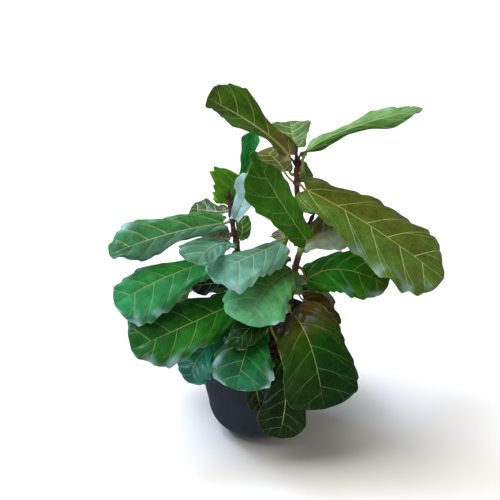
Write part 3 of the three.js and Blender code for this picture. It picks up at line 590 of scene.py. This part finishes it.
def petiole_skin():
    """Leaf stalk and midrib: smooth green-gold bark, satin, with faint lengthwise streaks."""
    material, tree = start_material("petiole_smooth_green_gold_bark")
    drawn = add(tree, "Mapping", {0: read(tree, "blade", "Vector"), 3: (0.06, 0.9, 1.0)})
    streak = add(tree, "TexNoise", {"Vector": drawn, "Scale": 1.0, "Detail": 3.0},
                 noise_dimensions="2D")
    base = shade(tree, read(tree, "tone"), streak, 0.72, 1.2)
    finish_shader(tree, base, 0.45, streak, 0.3, 0.0003)
    return material


def stem_bark():
    """Young fig wood: thin red-brown bark that splits lengthwise, with grey skin flakes and raised
    breathing pores, over green wood where the bark is newest. Dull."""
    material, tree = start_material("woody_stem_thin_bark")
    place = add(tree, "TexCoord", out="Object")
    drawn = add(tree, "Mapping", {0: place, 3: (1, 1, 0.12)})
    split = add(tree, "TexNoise",  # splits about 1.5 mm wide and 12 mm long
                {"Vector": drawn, "Scale": 1 / 0.0015, "Detail": 4.0, "Roughness": 0.6})
    base = shade(tree, read(tree, "tone"), split, 0.45, 1.5, last=0.68)
    flake = add(tree, "TexNoise", {"Vector": place, "Scale": 1 / 0.009, "Detail": 4.0})
    base = mix(tree, stretch(tree, flake, 0.55, 0.7, 0, 0.45), base, colour("#8a7766"))
    pore = add(tree, "TexVoronoi", {"Vector": place, "Scale": 1 / 0.004})
    pore = stretch(tree, pore, 0.22, 0.12, 0, 0.6)
    base = mix(tree, pore, base, colour("#b39a78"))
    height = add(tree, "Math", {0: split, 1: 0.8, 2: pore}, operation="MULTIPLY_ADD")
    finish_shader(tree, base, 0.78, height, 0.8, 0.0008)
    return material


def bud_sheath():
    """Stipule sheath: dry, papery, dark maroon with browner ribs, so it has a weak satin shine."""
    material, tree = start_material("bud_sheath_dry_stipule")
    drawn = add(tree, "Mapping", {0: add(tree, "TexCoord", out="Object"), 3: (1, 1, 0.1)})
    rib = add(tree, "TexNoise", {"Vector": drawn, "Scale": 1 / 0.0012, "Detail": 3.0})
    base = mix(tree, rib, colour("#1c0806"), colour("#5e2418"))
    finish_shader(tree, base, 0.5, rib, 0.6, 0.0005)
    return material


def potting_mix():
    """Potting mix: damp composted bark and peat, near black, dull, with crumbs and pale specks."""
    material, tree = start_material("potting_mix_damp_peat")
    place = add(tree, "TexCoord", out="Object")
    crumb = add(tree, "TexNoise",  # crumbs about 4 mm
                {"Vector": place, "Scale": 1 / 0.004, "Detail": 5.0, "Roughness": 0.7})
    base = mix(tree, crumb, colour("#120d09"), colour("#4c3a2a"))
    grit = add(tree, "TexVoronoi", {"Vector": place, "Scale": 1 / 0.006})
    base = mix(tree, stretch(tree, grit, 0.14, 0.08, 0, 0.8), base, colour("#a99a86"))
    finish_shader(tree, base, 0.92, crumb, 0.9, 0.002)
    return material


def bark_chip():
    """Bark chip: broken pine bark, red-brown with layers, dull."""
    material, tree = start_material("bark_chip_broken_pine")
    place = add(tree, "TexCoord", out="Object")
    layer = add(tree, "TexNoise", {"Vector": place, "Scale": 1 / 0.003, "Detail": 4.0})
    patch = add(tree, "TexNoise", {"Vector": place, "Scale": 1 / 0.015, "Detail": 1.0})
    base = mix(tree, layer, colour("#241610"), colour("#6b4a32"))
    base = mix(tree, patch, base, colour("#3f2c20"))
    finish_shader(tree, base, 0.88, layer, 0.7, 0.0008)
    return material


def pot_resin():
    """Planter: moulded resin in slate blue with a satin skin, so it shows a wide soft sheen,
    cloudy patches, a fine moulded grain, and dust and dried splashes that dull it in places."""
    material, tree = start_material("planter_moulded_slate_resin")
    place = add(tree, "TexCoord", out="Object")
    cloud = add(tree, "TexNoise",  # cloudy patches about 60 mm
                {"Vector": place, "Scale": 1 / 0.06, "Detail": 4.0, "Roughness": 0.55})
    base = mix(tree, cloud, colour("#131d27"), colour("#253540"))
    dust = add(tree, "TexNoise",  # splashes about 20 mm
               {"Vector": place, "Scale": 1 / 0.02, "Detail": 6.0, "Roughness": 0.75})
    base = mix(tree, stretch(tree, dust, 0.55, 0.8, 0, 0.25), base, colour("#4a525e"))
    grain = add(tree, "TexNoise",  # moulded grain about 1.2 mm
                {"Vector": place, "Scale": 1 / 0.0012, "Detail": 2.0})
    finish_shader(tree, base, stretch(tree, dust, 0.3, 0.7, 0.42, 0.6), grain, 0.25, 0.0004,
                  specular=0.35)
    return material


LEAF_UPPER = leaf_upper_skin()
LEAF_UNDER = leaf_underside()
PETIOLE = petiole_skin()
BARK = stem_bark()
SHEATH = bud_sheath()
MIX = potting_mix()
CHIP = bark_chip()
RESIN = pot_resin()

# ---------------------------------------------------------------- planter and potting mix

WALL_BOTTOM_RADIUS = POT_FOOT_RADIUS + POT_ROUND
WALL_SLOPE = (POT_RIM_RADIUS - WALL_BOTTOM_RADIUS) / (POT_HEIGHT - POT_ROUND)


def wall_radius(height):
    """Outside radius of the straight wall: it grows evenly with height."""
    return WALL_BOTTOM_RADIUS + (height - POT_ROUND) * WALL_SLOPE


def round_edge(inset, steps):
    """(radius, height) pairs of a quarter circle from the foot up to the wall, moved inward."""
    turn = np.linspace(0, np.pi / 2, steps)
    radius = POT_ROUND - inset
    return list(zip(POT_FOOT_RADIUS + radius * np.sin(turn), POT_ROUND - radius * np.cos(turn)))


def straight(first, last, steps):
    """(radius, height) pairs evenly along a straight line, without its ends."""
    share = np.linspace(0, 1, steps + 2)[1:-1, None]
    return [tuple(pair) for pair in np.array(first) * (1 - share) + np.array(last) * share]


def make_pot():
    """The planter is one turned profile: flat foot, quarter round, straight wall, a lip with
    rounded edges, and back down the inside."""
    lip = POT_HEIGHT - LIP_HEIGHT
    edge = round_edge(0, 22)
    inside = [(r, max(z, POT_FLOOR)) for r, z in reversed(round_edge(POT_WALL, 14))]
    inner_lip = POT_RIM_RADIUS - LIP_THICKNESS
    turn = np.linspace(0, np.pi / 2, 6)
    out, back = LIP_ROUND
    outer = list(zip(POT_RIM_RADIUS - out + out * np.cos(turn),
                     POT_HEIGHT - out + out * np.sin(turn)))
    inner = list(zip(inner_lip + back - back * np.sin(turn),
                     POT_HEIGHT - back + back * np.cos(turn)))
    wall = wall_radius(lip)
    profile = (
        [(12, 0), (24, 0), (POT_FOOT_RADIUS - 2, 0)] + edge
        + straight(edge[-1], (wall - 1, lip - 3), 14)
        + [(wall - 1, lip - 3), (wall - 0.9, lip - 1.2), (wall - 0.3, lip - 0.3),
           (wall + 0.6, lip), (wall + 1.0, lip + 0.6)]
        + straight((wall + 1.0, lip + 0.6), outer[0], 3) + outer + inner
        + [(inner_lip - 0.2, lip + 2), (wall - POT_WALL, lip - 3)]
        + straight((wall - POT_WALL, lip - 3), inside[0], 6) + inside
        + [(POT_FOOT_RADIUS * 0.5, POT_FLOOR)])
    rings = lathe(profile, 144)
    rings[..., :2] *= 1 + 0.0012 * ripples(rings, 90, seed=3)[..., None]
    build("planter", [skin(rings, (0, 0, 0), (0, 0, POT_FLOOR))], [RESIN], "pot")


def mix_height(radius):
    """Height of the crowned top of the mix at a distance from its middle."""
    edge = wall_radius(SOIL_LEVEL) - POT_WALL - MIX_GAP
    return SOIL_LEVEL + SOIL_CROWN * (1 - radius / edge)


def make_soil():
    """The mix fills the planter. Its top is a low crown with lumps about 16 mm and crumbs about
    5 mm across, which lie a little below the planter's lip."""
    inset = POT_WALL + MIX_GAP
    edge = wall_radius(SOIL_LEVEL) - inset
    floor = POT_FLOOR + MIX_GAP / 2
    side = [(r, max(z, floor)) for r, z in round_edge(inset, 8)]
    top = np.linspace(edge, 3, 70)
    profile = [(20, floor)] + side + [(edge, SOIL_LEVEL - 6)] + list(zip(top, mix_height(top)))
    rings = lathe(profile, 200)
    lumps = 1.5 * ripples(rings, 16, seed=5) + 0.6 * ripples(rings, 5, seed=6)
    inner = smoothstep(edge - np.hypot(rings[..., 0], rings[..., 1]), 0, 6)
    rings[..., 2] += np.where(rings[..., 2] > SOIL_LEVEL - 1, (lumps - 1.0) * inner, 0)
    build("potting_mix", [skin(rings, (0, 0, floor), (0, 0, SOIL_LEVEL + SOIL_CROWN - 1))],
          [MIX], "soil")


def make_chips():
    """Bark chips: flat blocks with eight uneven corners, scattered evenly over the mix. Each is
    turned and tilted, and its height follows the crown."""
    rng = np.random.default_rng(11)
    radius = CHIP_REACH * np.sqrt(rng.uniform(0, 1, CHIPS))
    turn = rng.uniform(0, 2 * np.pi, CHIPS)
    size = rng.uniform([2.5, 1.6, 0.7], [8.5, 4.5, 2.2], (CHIPS, 3))
    corner = np.array([[x, y, z] for z in (-1, 1) for x, y in ((-1, -1), (1, -1), (1, 1), (-1, 1))])
    blocks = corner * size[:, None] * rng.uniform(0.55, 1.1, (CHIPS, 8, 3))
    yaw, roll, pitch = rng.uniform(0, 2 * np.pi, CHIPS), *rng.normal(0, 0.22, (2, CHIPS))
    sin, cos = np.sin(yaw)[:, None], np.cos(yaw)[:, None]
    x, y, z = np.moveaxis(blocks, -1, 0)
    z = z + np.sin(roll)[:, None] * x + np.sin(pitch)[:, None] * y
    x, y = cos * x - sin * y, sin * x + cos * y
    points = np.stack([x + (radius * np.cos(turn))[:, None], y + (radius * np.sin(turn))[:, None],
                       z + (mix_height(radius) + 0.8)[:, None]], -1).reshape(-1, 3)
    faces = np.array([[0, 3, 2, 1], [4, 5, 6, 7], [0, 1, 5, 4], [1, 2, 6, 5], [2, 3, 7, 6],
                      [3, 0, 4, 7]])
    corners = (faces[None] + 8 * np.arange(CHIPS)[:, None, None]).ravel()
    sizes = np.full(6 * CHIPS, 4)
    chips = {"points": points, "corners": corners, "sizes": sizes, "slots": 0 * sizes, "data": {}}
    build("bark_chips", [chips], [CHIP], "soil", smooth=False)


# ---------------------------------------------------------------- stems and buds

def centripetal(points, steps=24):
    """A smooth curve through points. Each stretch is a cubic whose end slopes come from the
    neighbours' distances, which keeps tight corners free of loops."""
    points = np.array(points, float)
    padded = np.concatenate([[2 * points[0] - points[1]], points, [2 * points[-1] - points[-2]]])
    p0, p1, p2, p3 = padded[:-3], padded[1:-2], padded[2:-1], padded[3:]
    gap = np.sqrt(np.linalg.norm(np.diff(padded, axis=0), axis=1))[:, None]
    d0, d1, d2 = gap[:-2], gap[1:-1], gap[2:]
    leave = ((p1 - p0) / d0 - (p2 - p0) / (d0 + d1) + (p2 - p1) / d1) * d1
    arrive = ((p2 - p1) / d1 - (p3 - p1) / (d1 + d2) + (p3 - p2) / d2) * d1
    s = (np.arange(steps) / steps)[:, None, None]
    curve = (p1 + leave * s + (-3 * p1 + 3 * p2 - 2 * leave - arrive) * s ** 2
             + (2 * p1 - 2 * p2 + leave + arrive) * s ** 3)
    return np.concatenate([curve.transpose(1, 0, 2).reshape(-1, 3), points[-1:]])


def evenly(path, count):
    """A path's points again, at even distances along it, and its length."""
    travelled = np.concatenate([[0], np.cumsum(np.linalg.norm(np.diff(path, axis=0), axis=1))])
    at = np.linspace(0, travelled[-1], count)
    return np.stack([np.interp(at, travelled, path[:, k]) for k in range(3)], -1), travelled[-1]


def stem_line(stem, count=260):
    """Axis points and radii of a stem, from the foot of its socket in the mix up to its tip."""
    up = np.array(stem["axis"][::-1], float)
    foot = up[0] - SOCKET_DEPTH * unit(up[1] - up[0])
    path, _ = evenly(centripetal([foot, *up]), count)
    return path, np.linspace(stem["foot"], stem["top"], count)


def stem_at(key, height):
    """A stem's axis point, direction and radius at a height."""
    path, radii = stem_line(STEMS[key], 1200)
    k = int(np.argmin(np.abs(path[:, 2] - height)))
    return path[k], unit(path[k + 1] - path[k - 1]), radii[k]


def wood(path, radii, tones, nodes=(), seed=0):
    """A woody bar: it swells by 1.2 mm at each leaf's foot, with a scar groove above, flares by
    2.5 mm at the mix and in it, and its bark wrinkles lengthwise by a quarter of a millimetre."""
    height = path[:, 2]
    radii = radii + 2.5 * np.exp(-np.maximum(height - SOIL_LEVEL, 0) / 6) * (height > 150)
    for node in nodes:
        radii = radii + 1.2 * np.exp(-((height - node) / 3.0) ** 2)
        radii = radii - 0.5 * np.exp(-((height - node - 5) / 0.9) ** 2)
    rings = carry(path, radii, 40)
    wrinkles = ripples(rings * [1, 1, 0.15], 3.5, seed) + 0.8 * ripples(rings, 9, seed + 1)
    rings = carry(path, radii[:, None] + 0.25 * wrinkles, 40)
    tone = np.broadcast_to(tones[None, :, None], (1, len(path), 40, 4))
    return skin(rings, path[0], path[-1], data={"tone": tone})


def lay_over(tones, share, code):
    """Colours with a share of one more laid over them."""
    share = np.asarray(share)[..., None]
    return tones * (1 - share) + np.array(colour(code)) * share


def blend_tones(share, low, high):
    """Colours between two hex codes, one for each number of share."""
    return lay_over(np.array(colour(low)), share, high)


def make_stem(key):
    """A stem is brown at the foot, redder at the top, and green where its bark is newest."""
    path, radii = stem_line(STEMS[key])
    middle, reach = GREEN_WOOD[key]
    climb = (path[:, 2] - SOIL_LEVEL) / (path[-1, 2] - SOIL_LEVEL)
    tones = blend_tones(np.clip(climb, 0, 1), "#4a3826", "#5e3420")
    tones = lay_over(tones, np.exp(-((path[:, 2] - middle) / reach) ** 2), "#8fa04e")
    nodes = [item["node"] for item in LEAVES if item["stem"] == key]
    skins = [wood(path, radii, tones, nodes, seed=20 + len(key))]
    if key == "main":
        shoot = SIDE_SHOOT
        line, _ = evenly(centripetal(shoot["axis"]), 60)
        share = np.linspace(0, 1, 60)
        radii = shoot["foot"] + (shoot["top"] - shoot["foot"]) * share
        radii = radii * np.sqrt(np.clip((1.03 - share) / 0.12, 0, 1))
        skins.append(wood(line, radii, blend_tones(share, "#6a3c26", "#2c120c"),
                          [409, 428, 441], seed=31))
    build(f"woody_stem_{key}", skins, [BARK], f"stem_{key}")


def sheath(foot, lean, length, radius, curl, seed):
    """A folded stipule: a spindle that is widest a fifth of the way up, ends in a sharp point,
    and bends over by `curl` towards its tip. Its sides are pleated lengthwise."""
    share = np.linspace(0, 1, 40)
    lean = unit(np.array(lean, float))
    out = np.array([lean[0], lean[1], 0.0]) + [1e-6, 0, 0]
    path = np.array(foot, float) + lean * (share * length)[:, None]
    path = path + unit(out) * (curl * share ** 2)[:, None]
    around = 24
    turn = 2 * np.pi * np.arange(around) / around
    girth = radius * np.clip(1 - share, 0.012, 1) ** 0.75 * (0.72 + 0.9 * np.minimum(share, 0.3))
    pleats = 1 + 0.1 * np.cos(5 * turn + seed) + 0.05 * np.cos(9 * turn + 2 * seed)
    return skin(carry(path, girth[:, None] * pleats, around), path[0], path[-1])


BUD_SHEATHS = {  # (lean, length, radius, curl)
    "main": [((-0.08, -0.05, 1), 38, 4.6, -1), ((0.5, -0.35, 1), 24, 4.4, 3),
             ((-0.45, -0.5, 1), 20, 4.0, 3), ((0.25, 0.6, 1), 22, 4.0, 3),
             ((-0.6, 0.3, 1), 17, 3.6, 3), ((0.1, -0.8, 1), 14, 3.4, 2)],
    "left": [((-0.12, 0, 1), 21, 4.0, -1), ((0.5, -0.4, 1), 15, 3.2, 2),
             ((-0.6, -0.3, 1), 13, 3.0, 2)],
    "middle": [((0.06, -0.06, 1), 18, 3.4, 1), ((-0.5, -0.4, 1), 11, 2.6, 2)],
}


def make_bud(key):
    """A bud is a few folded sheaths round the tallest one."""
    x, y, z = STEMS[key]["axis"][0]
    skins = []
    for k, (lean, length, radius, curl) in enumerate(BUD_SHEATHS[key]):
        foot = (x + 3.0 * lean[0], y + 3.0 * lean[1], z - 0.5)
        skins.append(sheath(foot, lean, length, radius, curl, seed=k))
    build(f"bud_sheaths_{key}", skins, [SHEATH], f"bud_{key}")


# ---------------------------------------------------------------- leaves

def smooth(values, at):
    """A smooth cubic through evenly numbered values, read at the places `at` between them."""
    values = np.array(values, float)
    at = np.asarray(at, float)
    i = np.clip(np.floor(at).astype(int), 0, len(values) - 2)
    f = at - i
    padded = np.concatenate([[2 * values[0] - values[1]], values, [2 * values[-1] - values[-2]]])
    p0, p1, p2, p3 = padded[i], padded[i + 1], padded[i + 2], padded[i + 3]
    return 0.5 * (2 * p1 + (p2 - p0) * f + (2 * p0 - 5 * p1 + 4 * p2 - p3) * f ** 2
                  + (3 * p1 - p0 - 3 * p2 + p3) * f ** 3)


def midrib(item, share):
    """Point, direction, upward normal and length of the midrib at shares of its length: a parabola
    through base, middle and tip, and a straight line on before the base."""
    base, middle, tip = item["rib"]
    pull = 2 * middle - (base + tip) / 2

    def curve(s):
        """The parabola's point at s, from 0 at the base to 1 at the tip."""
        return (1 - s) ** 2 * base + 2 * (1 - s) * s * pull + s ** 2 * tip

    s = np.linspace(0, 1, 400)
    travelled = np.concatenate(
        [[0], np.cumsum(np.linalg.norm(np.diff(curve(s[:, None]), axis=0), axis=1))])
    length = travelled[-1]
    inside = np.clip(share, 0, 1)
    at = np.interp(inside * length, travelled, s)[..., None]
    along = unit((1 - at) * (pull - base) + at * (tip - pull))
    point = curve(at) + along * ((share - inside) * length)[..., None]
    face = unit(item["face"])
    up = unit(face - (along @ face)[..., None] * along)
    return point, along, up, length


def vein_number(item, side, share, reach):
    """Which side vein a place lies on, counted from the base, with parts for places between two.
    A vein that starts at v passes through share = v + lean(v) (0.65 r + 0.35 r^2), where r is the
    distance out from the midrib, so it curves forward. That is solved for v by Newton's steps.
    Also gives the distance in mm between neighbouring veins there."""
    reach = reach * (0.65 + 0.35 * reach)
    start = share - LEAN * reach
    for _ in range(14):
        extra = BASE_LEAN * np.exp(-np.maximum(start, 0) / BASE_FADE)
        slope = np.where(start > 0, -extra / BASE_FADE, 0)
        start = start - (start + (LEAN + extra) * reach - share) / np.maximum(
            1 + slope * reach, 0.3)
    knots = item["vein_starts"][side]
    number = np.interp(start, knots, np.arange(len(knots)) - 2)
    middles = (knots[1:] + knots[:-1]) / 2
    spacing = np.interp(start, middles, np.diff(knots)) * item["length"] * 0.8
    return number, spacing


def blade(item, side, row, out):
    """One half of a blade as a flat map: for rows from base to tip and places out from the midrib
    (0) to the margin (1), the share of the length, the distance across in mm, the vein number and
    the spacing of the veins. From each side vein on, the outline swells more and more towards the
    tip, and steps back in at the next one."""
    at = smooth(ROW_AT, row)
    wide = np.maximum(smooth(MARGIN_Y, row), 0)
    wide = wide * (1 + (item["waist"][side] - 1) * np.exp(-((at - WAIST[0]) / WAIST[1]) ** 2))
    wide = wide * (1 + (item["shoulder"][side] - 1)
                   * np.exp(-((at - SHOULDER[0]) / SHOULDER[1]) ** 2))
    share = at + (smooth(MARGIN_X, row) - at) * out * (1 - LATE_SLANT + LATE_SLANT * out)
    number, spacing = vein_number(item, side, share, wide * out)
    part = number - np.floor(number)
    tooth = part * (1 - smoothstep(part, 0.72, 1.0)) - 0.35
    scallop = 1 + 0.026 * item["ruffle"] * tooth * out ** 4
    return share, wide * out * item["half"][side] * scallop, number, spacing


def blade_points(item, row, t, lift):
    """Points of a blade. row runs 0 to LAST_ROW from base to tip, t -1 to 1 from the left margin to
    the right one, and lift is the height above the middle of the blade. Across the blade the
    surface is an arc that leaves the midrib at the fold angle and turns evenly by the bend out to
    the margin. On it lie the margin's waves, which grow with the cube of the distance out, the
    curl of the margin, the puffs between side veins, and slow ripples about 50 mm long."""
    right = t >= 0
    out = np.abs(t)
    halves = [blade(item, side, row, out) for side in (0, 1)]
    share, across, number, _ = (np.where(right, b, a) for a, b in zip(*halves))

    def pick(name):
        """The value of the half that each point lies on."""
        return np.where(right, item[name][1], item[name][0])

    point, along, up, length = midrib(item, share)
    sideways = np.cross(along, up)
    fade = np.clip(np.minimum(share / 0.06 + 0.4, (1.02 - share) / 0.12), 0, 1)
    fold = np.radians(pick("fold")) * fade
    turning = np.radians(pick("bend")) / pick("half") + 1e-9
    angle = fold + turning * across
    shift = (np.sin(angle) - np.sin(fold)) / turning
    height = (np.cos(fold) - np.cos(angle)) / turning

    ends = np.clip((LAST_ROW - row) / 1.5, 0, 1) * np.clip(row, 0, 1)
    wave = WAVES * (row / LAST_ROW) + item["phase"] + SIDE_STEP * right
    height = height + item["ruffle"] * out ** 3 * np.sin(2 * np.pi * wave) * ends
    hump = np.abs(np.sin(np.pi * number))
    small = min(1, length / 190)
    puff = BULGE * small * (hump ** 0.7 - 0.6) * smoothstep(out, 0.02, 0.3) * (1 - 0.4 * out ** 3)
    frill = 0.22 * item["ruffle"] * out ** 5 * np.cos(2 * np.pi * number + 6 * item["phase"])
    flat = np.stack([share * length, np.where(right, across, -across)], -1)
    slow = 1.1 * small * ripples(flat, 50, seed=item["seed"]) * smoothstep(out, 0, 0.4)
    curl = item["curl"] * smoothstep(out, 0.7, 1.0) ** 2
    channel = -0.5 * np.exp(-(across / 3.5) ** 2)
    lift = lift + (puff + frill + slow + curl + channel) * ends
    sign = np.where(right, 1, -1)
    return (point + sideways * (sign * (shift - lift * np.sin(angle)))[..., None]
            + up * (height + lift * np.cos(angle))[..., None])


def blade_skin(item, rows, columns):
    """The blade as a closed skin: each ring runs over the upper side from the left margin to the
    right one and back below, and the two sides meet in a round at the margin. The colour runs from
    one half to the other, from the base on and towards the tip, and pales near the curled margin
    with a painted sheen."""
    step = np.linspace(0, 1, rows + 2)[1:-1]
    row = LAST_ROW * (step - 0.07 * np.sin(2 * np.pi * step))[:, None]
    spread = np.linspace(-1, 1, 2 * columns + 1)
    over = np.sign(spread) * (1 - (1 - np.abs(spread)) ** 1.3)
    t = np.concatenate([over, over[-2:0:-1]])
    is_under = np.arange(len(t)) > 2 * columns
    thick = 0.5 * LEAF_THICKNESS * np.sqrt(np.clip(1 - np.abs(t) ** 14, 0, 1))
    row, t, lift = np.broadcast_arrays(row, t, np.where(is_under, -thick, thick))
    rings = blade_points(item, row, t, lift)
    left, right, tip, under, plain, _ = LOOKS[item["name"]]
    out = np.abs(t)
    veins, places, tones = [], [], []
    for side in (0, 1):
        share, across, number, spacing = blade(item, side, row, out)
        veins.append(np.stack([number, spacing, out], -1))
        sign = 1 if side else -1
        places.append(np.stack([share * item["length"] + 700 * item["seed"], sign * across,
                                share], -1))
        # many leaves' half and tip colours are painted light and shade
        own = blend_tones(0.5 + (side - 0.5) * smoothstep(out, 0, 0.3), left, right)
        own = lay_over(own, 0.85 * smoothstep(share, 0.45, 1), tip)
        if item["name"] in FOOT:
            behind = 0.85 - 0.85 * smoothstep(share, 0.02, 0.45)
            own = lay_over(own, behind, FOOT[item["name"]])
        # painted highlight: a bluish sheen laid over the curled margin in patches, towards the tip
        sheen_patches = smoothstep(ripples(places[side][..., :2], 40, seed=60 + side), -0.3, 1.2)
        onward = smoothstep(share, 0.2, 0.8)
        painted_sheen = PAINTED_MARGIN_SHEEN.get(item["name"], (0, 0))[side] * smoothstep(out, 0.55, 1) * sheen_patches * onward
        own = lay_over(own, np.clip(painted_sheen, 0, 0.8), PAINTED_SHEEN_COLOUR)
        own[..., 3] = plain
        tones.append(own)
    below = np.broadcast_to(np.array(colour(under)), tones[0].shape)
    rib = rib_colour(item, places[0][..., 2])
    faces = np.arange(len(t[0]))
    sides = np.select([faces < columns, faces < 2 * columns, faces < 3 * columns], [0, 1, 3], 2)
    data = {"veins": np.array(veins * 2), "blade": np.array(places * 2),
            "tone": np.array(tones + [below, below]), "rib": np.array([rib] * 4)}
    ends = blade_points(item, np.array([0.0, LAST_ROW]), np.zeros(2), np.zeros(2))
    return skin(rings, ends[0], ends[1], (faces >= 2 * columns).astype(int), sides, data)


def rib_colour(item, share):
    """The midrib's colour: gold at the base on some leaves, pale green on the others, and paler
    towards the tip."""
    low, high = ("#c89c48", "#cfc97c") if item["name"] in GOLDEN else ("#a3b25c", "#bccb84")
    return blend_tones(smoothstep(share, 0.1, 0.6), low, high)


def stalk_skin(item):
    """The stalk leaves the bark squarely, bends on a cubic to the blade's base and runs on below
    the blade as the midrib, which thins out to the tip. It swells at both ends of the bare part."""
    centre, axis, radius = stem_at(item["stem"], item["node"])
    base = item["rib"][0]
    out = base - centre
    out = unit(out - out.dot(axis) * axis)
    start = centre + out * (radius - 1.0)
    bend = centre + out * (radius + PETIOLE_FOOT)
    arm = np.linalg.norm(base - bend) / 3
    share = np.concatenate([[0.0], np.linspace(0.03, 0.97, 34)])
    point, along, up, _ = midrib(item, share)
    small = min(1, item["length"] / 130) ** 0.5
    rib = (0.4 + PETIOLE_RADIUS * 0.85 * (1 - share) ** 0.9) * small
    below = point - np.maximum(MIDRIB_DROP, rib - 0.3)[:, None] * up
    ends = [bend, bend + out * arm, below[0] - along[0] * arm, below[0]]
    s = np.linspace(0, 1, 22)[:-1, None]
    neck = ((1 - s) ** 3 * ends[0] + 3 * (1 - s) ** 2 * s * ends[1]
            + 3 * (1 - s) * s ** 2 * ends[2] + s ** 3 * ends[3])
    path = np.concatenate([[start], neck, below])
    s = s[:, 0]
    swelling = 0.45 * np.exp(-s / 0.08) + 0.2 * smoothstep(s, 0.75, 1)
    neck_radii = PETIOLE_RADIUS * small * (0.92 + swelling)
    radii = np.concatenate([[neck_radii[0]], neck_radii, rib])
    rings = carry(path, radii, 12, up[0] + 0.01)
    bare = np.zeros(len(s) + 1)
    tones = rib_colour(item, np.concatenate([bare, share])) * [0.72, 0.7, 0.6, 1]
    shape = (1, len(path), 12, 1)
    travelled = np.linspace(0, item["length"], len(path))[None, :, None, None]
    turn = np.arange(12)[None, None, :, None] * radii[None, :, None, None] * 0.5
    zero = np.zeros(shape)
    tones = np.broadcast_to(tones[None, :, None], (1, len(path), 12, 4))
    data = {"veins": np.concatenate([zero, zero, zero], -1),
            "blade": np.concatenate([travelled + zero, turn + zero, zero], -1),
            "tone": tones, "rib": tones}
    return skin(rings, path[0], path[-1], 2, 0, data)


def make_leaf(item, number):
    """A leaf is its blade and its stalk. Its side veins start at shrinking steps along the midrib,
    those of the right half a little later than those of the left."""
    rng = np.random.default_rng(100 + number)
    item["seed"] = number
    item["phase"] = number * PHASE_STEP % 1
    item["curl"] = LOOKS[item["name"]][5]
    item["length"] = midrib(item, np.zeros(1))[3]
    is_small = item["length"] < SMALL_LEAF
    count = 4 if is_small else 5
    steps = 0.95 * (np.arange(1, count) / count) ** 0.95
    item["vein_starts"] = [
        np.concatenate([[-0.24, -0.12, 0], steps + (0.3 * side + rng.uniform(-0.1, 0.1, count - 1))
                        / count, [1.02, 1.2]]) for side in (0, 1)]
    rows, columns = (84, 18) if is_small else (150, 28)
    build(item["name"].replace("leaf", "fig_leaf"), [blade_skin(item, rows, columns),
                                                     stalk_skin(item)],
          [LEAF_UPPER, LEAF_UNDER, PETIOLE], item["name"])


make_pot()
make_soil()
make_chips()
for stem_name in STEMS:
    make_stem(stem_name)
    make_bud(stem_name)
for index, spec in enumerate(LEAVES):
    make_leaf(spec, index)

# ---------------------------------------------------------------- floor, light and camera

CAMERA_PLACE = (-0.016, -1.8542, 1.3699)
CAMERA_DOWN = 28  # degrees below level
FOCAL_SHARE = 2.29  # focal length over the width of the picture


def lamp(name, place, aim, size, power, code, fills=True):
    """A square soft light that looks from a place at a point. One that doesn't fill is only seen in
    the gloss of things, as a window far off is."""
    data = bpy.data.lights.new(name, "AREA")
    data.shape = "SQUARE"
    data.size = size
    data.energy = power
    data.color = colour(code)[:3]
    light = bpy.data.objects.new(name, data)
    light.location = place
    light.rotation_euler = (Vector(aim) - Vector(place)).to_track_quat("-Z", "Y").to_euler()
    light.visible_diffuse = fills
    bpy.context.scene.collection.objects.link(light)


def make_stage():
    """A pale matt floor, a pale sky, a wide sun, four soft lamps, and the camera at the place the
    photograph was taken from."""
    floor_material, tree = start_material("floor_pale_matt_paint")
    place = add(tree, "TexCoord", out="Object")
    cloud = add(tree, "TexNoise", {"Vector": place, "Scale": 1.5})
    paint = mix(tree, cloud, colour("#f3f3f2"), colour("#f7f7f6"))
    shader = tree.nodes["Principled BSDF"]
    tree.links.new(paint, shader.inputs["Base Color"])
    shader.inputs["Roughness"].default_value = 0.9
    mesh = bpy.data.meshes.new("floor")
    mesh.from_pydata([(-6, -6, 0), (6, -6, 0), (6, 6, 0), (-6, 6, 0)], [], [(0, 1, 2, 3)])
    mesh.materials.append(floor_material)
    floor = bpy.data.objects.new("floor", mesh)
    bpy.context.scene.collection.objects.link(floor)
    floor.visible_glossy = False  # a white floor would lay a haze over the dark leaves

    world = bpy.data.worlds.new("pale_room")
    world.use_nodes = True
    sky = world.node_tree.nodes["Background"]
    sky.inputs["Color"].default_value = colour("#f4f6fa")
    sky.inputs["Strength"].default_value = 0.24
    bpy.context.scene.world = world

    sun = bpy.data.lights.new("high_overcast_sky", "SUN")
    sun.energy = 3.2
    sun.angle = math.radians(50)
    sun.color = colour("#fffaf4")[:3]
    high = bpy.data.objects.new("high_overcast_sky", sun)
    high.rotation_euler = (math.radians(-2), math.radians(-22), 0)
    high.visible_glossy = False  # the windows alone make the gloss, so it stays in patches
    bpy.context.scene.collection.objects.link(high)
    lamp("skylight_left", (-1.1, 0.5, 2.5), (0, 0, 0.4), 0.6, 24, "#c4dcff")
    lamp("window_back_left", (-1.6, 1.2, 1.3), (0, 0, 0.4), 0.5, 15, "#c4dcff")
    lamp("window_front_left", (-1.7, -1.0, 0.5), (0, 0, 0.35), 0.7, 22, "#c8e0ff", fills=False)
    lamp("warm_wall_right", (1.9, -0.9, 1.5), (0, 0, 0.4), 1.2, 4, "#ffd8a0")

    data = bpy.data.cameras.new("camera")
    data.sensor_width = 36
    data.lens = 36 * FOCAL_SHARE
    camera = bpy.data.objects.new("camera", data)
    camera.location = CAMERA_PLACE
    camera.rotation_euler = (math.radians(90 - CAMERA_DOWN), 0, 0)
    bpy.context.scene.collection.objects.link(camera)
    bpy.context.scene.camera = camera
    bpy.context.scene.view_settings.view_transform = "Standard"


make_stage()
